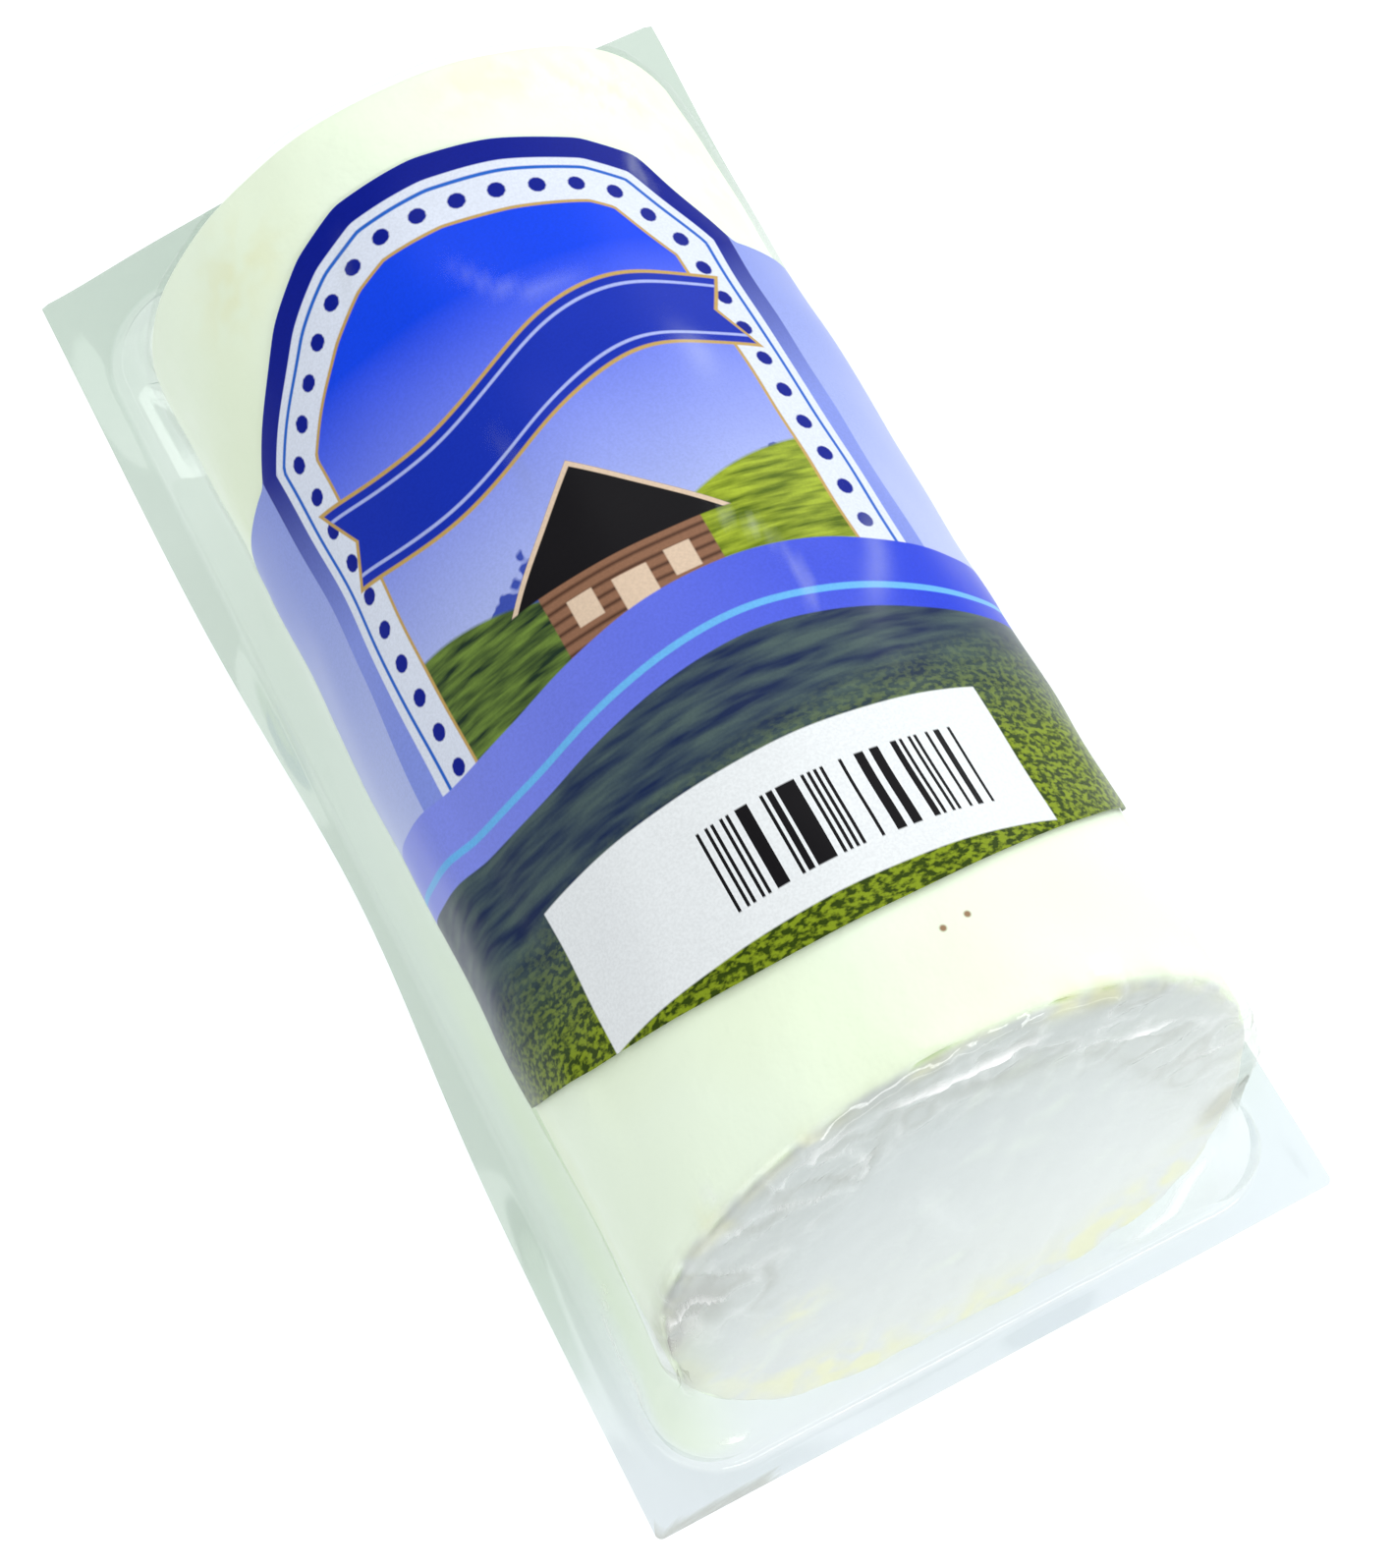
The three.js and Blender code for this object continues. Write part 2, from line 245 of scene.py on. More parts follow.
# The cheese inside the film, in millimetres, and the shares that shape its ragged near rim.
CHEESE_GAP = 0.8
CHEESE_FRONT_GAP = 1.1
CHEESE_BACK_GAP = 0.6
CHEESE_FOOT_POWER = 3.0
CHEESE_EDGE = 1.5
FOOT_BULGE = 1.5
FOOT_BULGE_HEIGHT = 22.0
CHEESE_SINK = 0.25
CHEESE_FLOOR_GAP = 0.3
RIM_FACING = 0.6
RIM_SPREAD = 0.3
RIM_LOW_PART = (8.0, 30.0)
FACE_LUMPS_CUT = 0.8
SMALL_RAG_HEIGHT = 0.9
SMALL_RAG_LIMIT = 0.5
BROAD_RAG_HEIGHT = 0.5
RAG_SINK = 0.9
RAG_SHARE = 0.45
RAG_LOW_SHARE = 0.5
CUT_FACE_DEPTH = (1.5, 2.6)
FACE_SHADE_RISE = (8.0, 66.0)
FACE_SHADE_SLANT = -0.4
STAIN_RIM = 0.97
STAIN_WIDTH = 0.04
STAIN_LOW_WIDTH = 0.09
CHEESE_STAINS = (
    (-25.0, -92.5, 30.0, 4.5, 0.8), (24.5, -96.5, 7.0, 6.0, 0.6), (2.5, -98.0, 6.0, 5.0, 0.5),
    (-20.0, -98.0, 8.0, 6.0, 0.5), (8.5, 68.5, 80.5, 5.0, 0.5), (16.5, 69.0, 78.0, 5.0, 0.6),
    (-32.0, 62.5, 67.5, 7.0, 0.5), (-26.5, 62.5, 72.5, 6.0, 0.4), (15.5, -84.5, 77.0, 2.5, 1.0),
    (19.5, -85.0, 76.0, 2.5, 1.0), (23.0, -85.5, 73.5, 2.0, 0.8), (-4.0, -84.5, 80.0, 2.0, 0.6),
    (-33.0, -86.0, 66.0, 2.5, 0.6), (-20.0, -85.0, 76.0, 2.0, 0.5), (31.0, 66.0, 71.0, 9.0, 0.5),
    (38.0, 52.0, 60.0, 10.0, 0.4),
)
CHEESE_SPECKS = ((10.3, -69.8, 80.0), (6.7, -70.2, 80.6))
SPECK_RADIUS = 0.45
CHEESE_COLUMNS = 260
CHEESE_ROWS = 220
CHEESE_FACE_ROWS = 40
CHEESE_EDGE_ROWS = 8

# The label, in degrees round the log and millimetres along it.
LABEL_TURN = -6.5
LABEL_HALF_ANGLE = 91.5
LABEL_ARCH_HALF_ANGLE = 56.5
LABEL_FOOT_BEND = 10.0
LABEL_DEPTH = 0.3
LABEL_THICKNESS = 0.15
BEAD_INSET = 8.5
BEAD_PITCH = 5.6
BEAD_RADIUS = 1.25
BEAD_RAYS = 151
BEAD_SWEEP = 112.0
BEAD_SEARCH_STEP = 0.25
LABEL_COLUMNS = 220
LABEL_ROWS = 180
LABEL_ARCH = (
    (-1.00, 0.00), (-0.82, 0.29), (-0.61, 0.63), (-0.42, 0.86), (-0.23, 0.99), (0.05, 1.00),
    (0.31, 0.93), (0.60, 0.82), (0.78, 0.65), (0.86, 0.40), (1.00, 0.00),
)


class PackSizes(bpy.types.PropertyGroup):
    """Main lengths of the pack, the log and the label."""

    pack_width: FloatProperty(name="Pack width", description="Width over the sealed margins",
                              default=108.0 * MM, unit="LENGTH")
    pack_length: FloatProperty(name="Pack length", description="Length over the sealed margins",
                               default=212.0 * MM, unit="LENGTH")
    seal_front: FloatProperty(name="Front margin height", description="Height of the margin in front",
                              default=2.4 * MM, unit="LENGTH")
    seal_back: FloatProperty(name="Back margin height", description="Height of the margin behind",
                             default=20.5 * MM, unit="LENGTH")
    log_half_width: FloatProperty(name="Log half width", description="Half the width of the log's oval",
                                  default=44.5 * MM, unit="LENGTH")
    log_height: FloatProperty(name="Log height", description="Height of the log's oval",
                              default=82.0 * MM, unit="LENGTH")
    log_front_top: FloatProperty(name="Front face top", description="Place of the near face at its top",
                                 default=-85.5 * MM, unit="LENGTH")
    log_front_foot: FloatProperty(name="Front face foot", description="Place of the near face at its foot",
                                  default=-99.0 * MM, unit="LENGTH")
    log_back: FloatProperty(name="Log back", description="Place where the film leaves the far end",
                            default=74.5 * MM, unit="LENGTH")
    label_foot: FloatProperty(name="Label foot", description="Place of the label's near edge",
                              default=-64.7 * MM, unit="LENGTH")
    label_shoulder: FloatProperty(name="Label shoulder", description="Place where the label's arch starts",
                                  default=36.5 * MM, unit="LENGTH")
    label_crown: FloatProperty(name="Label crown", description="Place of the top of the label's arch",
                               default=60.2 * MM, unit="LENGTH")


class PackLooks(bpy.types.PropertyGroup):
    """Strengths and colours that set how the pack looks."""

    crumple: FloatProperty(name="Crumple", description="Height of the folds in the film's near end",
                           default=0.7 * MM, unit="LENGTH")
    unevenness: FloatProperty(name="Unevenness", description="Height of the lumps of the log",
                              default=0.45 * MM, unit="LENGTH")
    haze: FloatProperty(name="Haze", description="Milkiness of the film where it lies off the cheese",
                        default=0.1, min=0.0, max=1.0)
    cheese: FloatVectorProperty(name="Cheese", description="Main colour of the cheese", subtype="COLOR",
                                size=3, default=(0.86, 0.955, 0.79), min=0.0, max=1.0)


def millimetres(group, names):
    """The named lengths of a property group, in millimetres."""
    return SimpleNamespace(**{name: getattr(group, name) / MM for name in names})


def pack_sizes(context):
    """All lengths of the pack, in millimetres."""
    return millimetres(context.scene.cheese_pack_sizes, PackSizes.__annotations__)


def relief_heights(context):
    """Heights of the film's folds and of the log's lumps, in millimetres."""
    return millimetres(context.scene.cheese_pack_looks, ("crumple", "unevenness"))


def smooth(value, low, high):
    """Smoothstep: 0 below low, 1 above high, eased between them."""
    share = np.clip((value - low) / (high - low), 0.0, 1.0)
    return share * share * (3.0 - 2.0 * share)


def fade(value, low, high):
    """Smoothstep turned over: 1 below low, 0 above high."""
    return 1.0 - smooth(value, low, high)


def ripples(points, wavelength, seed, count=20):
    """Sum of plane waves in seeded directions and about one wavelength, with a spread of about one."""
    rng = np.random.default_rng(seed)
    directions = rng.normal(size=(3, count))
    directions /= np.linalg.norm(directions, axis=0)
    turns = 2.0 * np.pi / (wavelength * rng.uniform(0.7, 1.4, count))
    phases = rng.uniform(0.0, 2.0 * np.pi, count)
    return np.sin(points @ (directions * turns) + phases).sum(axis=1) * math.sqrt(2.0 / count)


def ease(share):
    """A mix of a straight run and a cosine, so steps close up towards both ends."""
    return 0.25 * share + 0.75 * (0.5 - 0.5 * np.cos(np.pi * share))


def oval(sizes, angle, grow, foot_power):
    """
    The log's section at an angle from its top: an ellipse above its middle, and below it the
    fuller curve |x/a|^p + |z/b|^p = 1, both grown outwards by a distance.
    """
    across = np.sin(angle)
    up = np.cos(angle)
    power = np.where(up < 0.0, foot_power, 2.0)
    reach = (np.abs(across) ** power + np.abs(up) ** power) ** (-1.0 / power)
    half_height = sizes.log_height / 2.0
    x = (sizes.log_half_width + grow) * across * reach
    z = half_height + (half_height + grow) * up * reach
    return x, z


def front_face(sizes, z):
    """Where the near face is at a height: a plane that slants out towards its foot."""
    share = z / sizes.log_height
    return sizes.log_front_foot + (sizes.log_front_top - sizes.log_front_foot) * share


def log_unevenness(sizes, looks, points):
    """How far the log stands out of its oval: broad lumps, and one long crease on its left side."""
    lumps = looks.unevenness * (0.7 * ripples(points, *BROAD_LUMPS) + 0.3 * ripples(points, *SMALL_LUMPS))
    angle = np.degrees(np.arctan2(points[:, 0], points[:, 2] - sizes.log_height / 2.0))
    low, crest, high = SIDE_CREASE_ANGLES
    start, full, fading, stop = SIDE_CREASE_PLACES
    rising = smooth(angle, low, crest) * fade(angle, crest, high)
    along = smooth(points[:, 1], start, full) * fade(points[:, 1], fading, stop)
    return lumps + SIDE_CREASE * rising * along


def vertex_normals(points, triangles):
    """Mean of the triangle normals round each point, weighted by area."""
    corners = points[triangles]
    crosses = np.cross(corners[:, 1] - corners[:, 0], corners[:, 2] - corners[:, 0])
    normals = np.zeros_like(points)
    for corner in range(3):
        np.add.at(normals, triangles[:, corner], crosses)
    return normals / np.maximum(np.linalg.norm(normals, axis=1, keepdims=True), 1e-12)


def grid_quads(rows, columns, first, closed):
    """Quads of a grid of points stored row by row; a closed grid joins its last column to its first."""
    row = np.arange(rows - 1)[:, None]
    column = np.arange(columns if closed else columns - 1)[None, :]
    beside = (column + 1) % columns
    corners = (row * columns + column, row * columns + beside,
               (row + 1) * columns + beside, (row + 1) * columns + column)
    return first + np.stack(corners, axis=-1).reshape(-1, 4)


def weld(points, quads):
    """Merges points at the same place, splits the quads and drops triangles with a repeated corner."""
    places = np.round(points, 4) + 0.0
    _, first, index = np.unique(places, axis=0, return_index=True, return_inverse=True)
    triangles = index.ravel()[np.concatenate([quads[:, [0, 1, 2]], quads[:, [0, 2, 3]]])]
    a, b, c = triangles.T
    return first, triangles[(a != b) & (b != c) & (c != a)]


def make_piece(name, points, triangles, material, nodes):
    """A mesh object from points in millimetres, smooth but at sharp edges; it stands for CAD nodes."""
    mesh = bpy.data.meshes.new(name)
    mesh.from_pydata((points * MM).tolist(), [], triangles.tolist())
    mesh.shade_smooth()
    mesh.set_sharp_from_angle(angle=math.radians(SHARP_ANGLE))
    mesh.materials.append(material)
    piece = bpy.data.objects.new(name, mesh)
    bpy.context.scene.collection.objects.link(piece)
    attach(piece, "root")
    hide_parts(*nodes)
    return piece


def add_values(piece, name, values):
    """One number a point, or one vector a point, as a named attribute of the mesh."""
    kind = "FLOAT" if values.ndim == 1 else "FLOAT_VECTOR"
    field = "value" if values.ndim == 1 else "vector"
    attribute = piece.data.attributes.new(name, kind, "POINT")
    attribute.data.foreach_set(field, values.astype(np.float32).ravel())


def rounded_loop(half_width, front, back, radius):
    """
    A rounded rectangle from its right front, counter-clockwise seen from above: four straight runs,
    each followed by a quarter circle. Gives the points and their outward directions. The two back
    corners take stations from the back run, since their film fans out up the far end's rim.
    """
    across = half_width - radius
    low = front + radius
    high = back - radius
    side = ease(np.arange(SIDE_STEPS) / SIDE_STEPS)
    end = np.linspace(0.0, 1.0, END_STEPS, endpoint=False)
    far_end = np.linspace(0.0, 1.0, END_STEPS - 2 * TENT_STEPS, endpoint=False)
    runs = (
        ((half_width, low), (half_width, high), (across, high), 0.0, side, TENT_STEPS),
        ((across, back), (-across, back), (-across, high), 90.0, far_end, TENT_STEPS),
        ((-half_width, high), (-half_width, low), (-across, low), 180.0, side, CORNER_STEPS),
        ((-across, front), (across, front), (across, low), 270.0, end, CORNER_STEPS),
    )
    places = []
    outwards = []
    for start, stop, centre, heading, shares, corner_steps in runs:
        places.append(np.array(start) + (np.array(stop) - np.array(start)) * shares[:, None])
        facing = math.radians(heading)
        outwards.append(np.tile([math.cos(facing), math.sin(facing)], (len(shares), 1)))
        turn = np.radians(heading + np.linspace(0.0, 90.0, corner_steps, endpoint=False))
        arc = np.stack([np.cos(turn), np.sin(turn)], axis=1)
        places.append(np.array(centre) + radius * arc)
        outwards.append(arc)
    return np.concatenate(places), np.concatenate(outwards)


def seal_height(sizes, x, y):
    """
    Height of the sealed margin: it rises towards the back by a power curve, curls up behind the log
    between its back corners, and stands up a little more at the right back corner.
    """
    share = np.clip(y / sizes.pack_length + 0.5, 0.0, 1.0) ** SEAL_LIFT_POWER
    middle = 1.0 - np.clip(2.0 * x / sizes.pack_width, -1.0, 1.0) ** 2
    curl = SEAL_CURL * middle ** 2 * smooth(y, SEAL_CURL_START, sizes.pack_length / 2.0)
    tip = np.hypot(x - sizes.pack_width / 2.0, y - sizes.pack_length / 2.0)
    lift = TIP_LIFT * np.exp(-(tip / TIP_REACH) ** 2)
    return sizes.seal_front + (sizes.seal_back - sizes.seal_front) * share + curl + lift


def seal_outline(sizes):
    """
    The pack's outer edge, station by station straight out from the rim: a rectangle drawn in at its
    waist. Stations of the back lie on rays from the rim's corners.
    """
    half = sizes.pack_width / 2.0
    reach = sizes.pack_length / 2.0
    edge, outward = rounded_loop(half, -reach, reach, PACK_CORNER)
    rim, _ = rounded_loop(RIM_HALF_WIDTH, RIM_FRONT, RIM_BACK, RIM_CORNER)
    low = RIM_FRONT + RIM_CORNER
    high = RIM_BACK - RIM_CORNER
    on_side = np.abs(outward[:, 0]) > STRAIGHT
    edge[on_side, 1] = np.interp(rim[on_side, 1], (low, high), (PACK_CORNER - reach, high))
    behind = (outward[:, 1] > 0.0) & ~on_side
    ray = outward[behind]
    across = np.clip(rim[behind, 0], RIM_CORNER - RIM_HALF_WIDTH, RIM_HALF_WIDTH - RIM_CORNER)
    sideways = (half - np.abs(across)) / np.maximum(np.abs(ray[:, 0]), 1e-9)
    steps = np.minimum(sideways, (reach - high) / ray[:, 1])
    edge[behind] = np.stack([across, np.full(len(across), high)], axis=1) + ray * steps[:, None]
    waist = WAIST_DEPTH * np.exp(-((edge[:, 1] - WAIST_PLACE) / WAIST_REACH) ** 2)
    edge[:, 0] -= np.sign(edge[:, 0]) * waist * np.abs(outward[:, 0])
    return edge


def log_top(sizes):
    """The film where it lies on the log: an oval swept along the log and drawn in over its two ends."""
    angles = np.radians(np.linspace(-LEAVE_ANGLE, LEAVE_ANGLE, END_STEPS + 1))
    shares = ease(np.linspace(0.0, 1.0, SIDE_STEPS + 1))
    _, height = oval(sizes, angles, 0.0, 2.0)
    front = front_face(sizes, height)
    y = front[None, :] + (sizes.log_back - front[None, :]) * shares[:, None]
    nearest = np.minimum(y - front[None, :], sizes.log_back - y)
    shrink = END_SHRINK * np.clip(1.0 - nearest / END_ROUNDING, 0.0, 1.0) ** 2
    x, z = oval(sizes, np.broadcast_to(angles, y.shape), -shrink, 2.0)
    return np.stack([x, y, z], axis=-1)


def top_edge(top):
    """The border of the film's top, station by station as in the loops; front corners repeat a point."""
    corner = (CORNER_STEPS, 1)
    return np.concatenate([
        top[:-1, -1],
        top[-1, :0:-1],
        top[:0:-1, 0], np.tile(top[0, 0], corner),
        top[0, :-1], np.tile(top[0, -1], corner),
    ])


def film_rows(sizes, top):
    """
    Rows of film from the middle of the base, out under the pack to the seal's edge, back over the
    seal, round a fillet and up the walls, which dip in by a parabola, to the log. Behind the log the rim
    is drawn in, most in its middle, so that the film hugs the far end. Gives the rows and their shares.
    """
    rim, outward = rounded_loop(RIM_HALF_WIDTH, RIM_FRONT, RIM_BACK, RIM_CORNER)
    aside = np.clip(np.abs(rim[:, 0]) / (RIM_HALF_WIDTH - RIM_CORNER), 0.0, 1.0)
    hug = np.where(outward[:, 1] > STRAIGHT, (1.0 - aside ** RIM_HUG_POWER) ** 2, 0.0)
    rim[:, 1] -= RIM_BACK_HUG * hug
    outer = seal_outline(sizes)
    base_front = sizes.log_front_foot + BASE_FRONT_INSET
    base_back = sizes.log_back - BASE_BACK_INSET
    base, _ = rounded_loop(BASE_HALF_WIDTH, base_front, base_back, BASE_CORNER)
    middle = np.clip(base[:, 1], base_front + BASE_HALF_WIDTH, base_back - BASE_HALF_WIDTH)
    rim_height = seal_height(sizes, rim[:, 0], rim[:, 1])
    edge = top_edge(top)

    def level(places, heights):
        """Flat places with heights as points."""
        return np.concatenate([places, heights[:, None]], axis=1)

    def on_seal(share, start, lower):
        """A row of the margin, at a share of the way from a starting line to its outer edge."""
        places = start + (outer - start) * share
        outside = np.maximum(np.abs(places[:, 0]) - RIM_HALF_WIDTH,
                             np.maximum(places[:, 1] - RIM_BACK, RIM_FRONT - places[:, 1]))
        ripple = ripples(level(places, np.zeros(len(places))), *SEAL_RIPPLE)
        wave = SEAL_WAVE * smooth(outside, 0.0, SEAL_WAVE_START) * ripple
        return level(places, seal_height(sizes, places[:, 0], places[:, 1]) + wave - lower)

    rows = [level(np.stack([np.zeros(len(middle)), middle], axis=1), np.zeros(len(middle)))]
    shares = [UNDER_SHARE]
    for share in np.linspace(0.0, 1.0, UNDER_ROWS):
        rise = (rim_height - SEAL_THICKNESS) * share ** BASE_RISE_POWER
        rows.append(level(base + (rim - base) * share, rise))
        shares.append(UNDER_SHARE)
    for share in np.linspace(0.0, 1.0, SEAL_ROWS)[1:]:
        rows.append(on_seal(share, rim, SEAL_THICKNESS))
        shares.append(SEAL_UNDER_SHARE)
    step_out = rim + RIM_FILLET * outward
    for share in np.linspace(1.0, 0.0, SEAL_ROWS):
        rows.append(on_seal(share, step_out, 0.0))
        shares.append(0.0)
    rim_points = level(rim, rim_height)
    up = (edge - rim_points) / np.linalg.norm(edge - rim_points, axis=1, keepdims=True)
    seal_end = rows[-1]
    wall_start = rim_points + RIM_FILLET * up
    for share in np.linspace(0.0, 1.0, FILLET_ROWS + 1)[1:]:
        rows.append(seal_end * (1.0 - share) ** 2 + 2.0 * share * (1.0 - share) * rim_points
                    + share ** 2 * wall_start)
        shares.append(FILLET_SHARE)
    end_dip = np.where(outward[:, 1] < 0.0, FRONT_DIP, BACK_DIP + (FRONT_DIP - BACK_DIP) * hug)
    dip = SIDE_DIP * outward[:, 0] ** 2 + end_dip * outward[:, 1] ** 2
    inward = np.concatenate([outward, np.zeros((len(outward), 1))], axis=1)
    for share in np.linspace(0.0, 1.0, WALL_ROWS + 1)[1:]:
        bow = (4.0 * share * (1.0 - share) * dip)[:, None]
        rows.append(wall_start + (edge - wall_start) * share - inward * bow)
        shares.append(share)
    return np.stack(rows), np.array(shares)


def bumps(points, places):
    """Sum of round bumps, each a bell over the distance from a centre, with a reach and a height."""
    total = np.zeros(len(points))
    for x, y, z, reach, height in places:
        away = np.linalg.norm(points - np.array([x, y, z]), axis=1)
        total += height * np.exp(-(away / reach) ** 2)
    return total


def follow_line(spots, line):
    """How far spots are from a bent line, and where along it they are nearest to it, from 0 to 1."""
    corners = np.array(line)
    runs = corners[1:] - corners[:-1]
    lengths = np.linalg.norm(runs, axis=1)
    before = 0.0
    best = np.full(len(spots), np.inf)
    place = np.zeros(len(spots))
    for start, run, length in zip(corners[:-1], runs, lengths):
        share = np.clip((spots - start) @ run / length ** 2, 0.0, 1.0)
        away = np.linalg.norm(spots - start - share[:, None] * run, axis=1)
        nearer = away < best
        best = np.where(nearer, away, best)
        place = np.where(nearer, before + share * length, place)
        before += length
    return best, place / before


def stroke_marks(spots, strokes):
    """
    Marks along bent lines: at each spot the strongest stroke, a bell over the distance from its line
    that tapers to its ends. Strokes above zero are raised creases, which also carry painted highlights,
    and strokes below zero are folds, which also carry painted shade.
    """
    marks = np.zeros(len(spots))
    for line, width, strength in strokes:
        away, place = follow_line(spots, line)
        taper = np.sqrt(np.sin(np.pi * np.clip(place, STROKE_TAPER, 1.0 - STROKE_TAPER)))
        mark = strength * taper * np.exp(-(away / width) ** 2)
        marks = np.where(np.abs(mark) > np.abs(marks), mark, marks)
    return marks


def face_masks(sizes, points):
    """
    Where a point is on the near face, its reach from the face's middle as a share of the rim's, and
    where it is in the face's upper part.
    """
    x, y, z = points.T
    half_height = sizes.log_height / 2.0
    rim_share = np.hypot(x / sizes.log_half_width, (z - half_height) / half_height)
    in_front = fade(y - front_face(sizes, z), *FACE_DEPTH)
    upper = smooth((z - half_height) / half_height, *UPPER_PART)
    return in_front, rim_share, upper


def film_relief(sizes, looks, points, on_top):
    """
    Folds of the film: how far it stands out in crumples, creases and corner pockets, how much painted shade
    its folds and pockets lay on what lies behind, and how white its creases are painted as a painted
    highlight. Crumples run round a band inside the near face's upper rim, and crinkles follow the zero
    lines of a seeded pattern there.
    """
    in_front, rim_share, upper = face_masks(sizes, points)
    band = in_front * upper * smooth(rim_share, *BAND_START) * fade(rim_share, *BAND_END)
    warp = BAND_WARP * ripples(points, *FOLD_WARP)
    wrinkle = 1.0 - np.abs(np.sin(np.pi * (rim_share * BAND_FOLDS + warp)))
    fine = 1.0 - np.abs(ripples(points, *FINE_FOLDS))
    crumple = band * (FOLD_HEIGHT * wrinkle ** 3 + FINE_FOLD_HEIGHT * fine)
    on_left = (points[:, 0] < -LEFT_STROKES_FROM) & ~on_top
    marks = np.where(on_top, stroke_marks(points[:, :2], TOP_STROKES),
                     in_front * stroke_marks(points[:, [0, 2]], FACE_STROKES))
    marks = np.where(on_left, stroke_marks(points[:, 1:], LEFT_STROKES), marks)
    net = ripples(points, *CRINKLES)
    crinkle = band * np.exp(-(net / CRINKLE_WIDTH) ** 2)
    # Painted highlight: white milk along the raised creases and along the crinkles.
    crease = np.clip(marks + CRINKLE_HIGHLIGHT * crinkle, 0.0, 1.0)
    # Painted shade: grey over the crumpled band, over patches of its crinkles, and along the sunk folds.
    patch = np.exp(-((net - BAND_PATCH_LEVEL) / BAND_PATCH_SPREAD) ** 2)
    shade = band * (BAND_PAINTED_SHADE + BAND_PATCH_PAINTED_SHADE * patch) - np.minimum(marks, 0.0)
    # Painted shade in round patches over the film's pockets.
    shade = np.clip(shade + bumps(points, POCKET_PAINTED_SHADES), 0.0, 1.0)
    stroke_height = np.where(on_top, TOP_STROKE_HEIGHT, 1.0)
    lift = looks.crumple * (crumple + CRINKLE_HEIGHT * crinkle + marks * stroke_height)
    return lift + bumps(points, FILM_POCKETS), shade, crease


def film_looks(sizes, points, shares, fold_shade):
    """
    Masks of the film from 0 to 1. It is tinted most on the margins, less up the walls and not on the
    log, a little more at the back and the near right, and less at the far end and the right side. A
    scalloped strip of painted grey shade runs along the near left edge. The film shines off the log and
    round the near end's rim, is bluish in front, and carries a warm painted reflection of the cheese on
    the near left wall.
    """
    x, y, z = points.T
    on_top = shares > 1.0
    raised = shares > 0.0
    in_front, _, _ = face_masks(sizes, points)
    on_wall = np.where(raised, WALL_TINT, 1.0) - WALL_FADE * smooth(shares, *WALL_FADE_RUN)
    on_wall = np.where(raised, on_wall + (FACE_TINT - on_wall) * in_front, on_wall)
    far = np.where(raised, smooth(y, *FAR_RUN), 0.0)
    right = smooth(x, *RIGHT_RUN) * smooth(y, *RIGHT_START) * fade(y, *RIGHT_END)
    front = fade(y, *FRONT_RUN)
    denser = np.maximum(smooth(y, *DENSE_BACK), front * smooth(x, *DENSE_RIGHT))
    tint = on_wall * (PLAIN_TINT + DENSE_TINT * denser) * (1.0 - FAR_CUT * far) * (1.0 - RIGHT_CUT * right)
    loose = np.where(on_top, 0.0, tint)
    # A scalloped strip of painted shade along the near left edge, laid into the shade of folds.
    lightest, scallop = NEAR_STRIP_PAINTED_SHADES
    strip = lightest + scallop * np.abs(np.sin(np.pi * x / NEAR_STRIP_SCALLOP))
    in_strip = (y < NEAR_STRIP - sizes.pack_length / 2.0) & (x < NEAR_STRIP_END)
    fold_shade = np.maximum(fold_shade, strip * in_strip)
    patchy = HAZE_LEAST + HAZE_SPREAD * smooth(ripples(points, *HAZE_PATCHES), *HAZE_RUN)
    shine = np.maximum(on_wall * (1.0 - FAR_SHINE_CUT * far), FACE_SHINE * in_front)
    rim_shine = RIM_SHINE * fade(y - front_face(sizes, z), *RIM_SHINE_RUN)
    shine = np.where(on_top, rim_shine, shine)
    # A warm painted reflection of the cheese on the near left wall.
    near_left = fade(x, *WARM_ACROSS) * fade(y, *WARM_ALONG)
    warm_reflection = near_left * np.where(on_top, 0.0, smooth(shares, *WARM_UP))
    return loose, fold_shade, patchy, shine, front, warm_reflection


def build_film(sizes, looks):
    """
    The closed film shell: its rows and its top on the log, welded, and moved outwards by the log's lumps
    and the film's own folds. Gives points, triangles, row shares, painted shade of folds and pockets, and
    white marks of creases that are painted highlights.
    """
    top = log_top(sizes)
    rows, row_shares = film_rows(sizes, top)
    points = np.concatenate([rows.reshape(-1, 3), top.reshape(-1, 3)])
    top_shares = np.full(top.shape[0] * top.shape[1], LOG_SHARE)
    shares = np.concatenate([np.repeat(row_shares, rows.shape[1]), top_shares])
    quads = np.concatenate([
        grid_quads(rows.shape[0], rows.shape[1], 0, True),
        grid_quads(top.shape[0], top.shape[1], rows.shape[0] * rows.shape[1], False),
    ])
    first, triangles = weld(points, quads)
    points = points[first]
    shares = shares[first]
    on_wall = smooth(shares, *RELIEF_START)
    relief, shade, crease = film_relief(sizes, looks, points, shares > 1.0)
    lumps = log_unevenness(sizes, looks, points) * smooth(shares, *LUMPS_START)
    outwards = on_wall * (lumps + relief)
    points = points + vertex_normals(points, triangles) * outwards[:, None]
    points[:, 2] = np.maximum(points[:, 2], 0.0)
    return points, triangles, shares, shade * on_wall, crease * on_wall


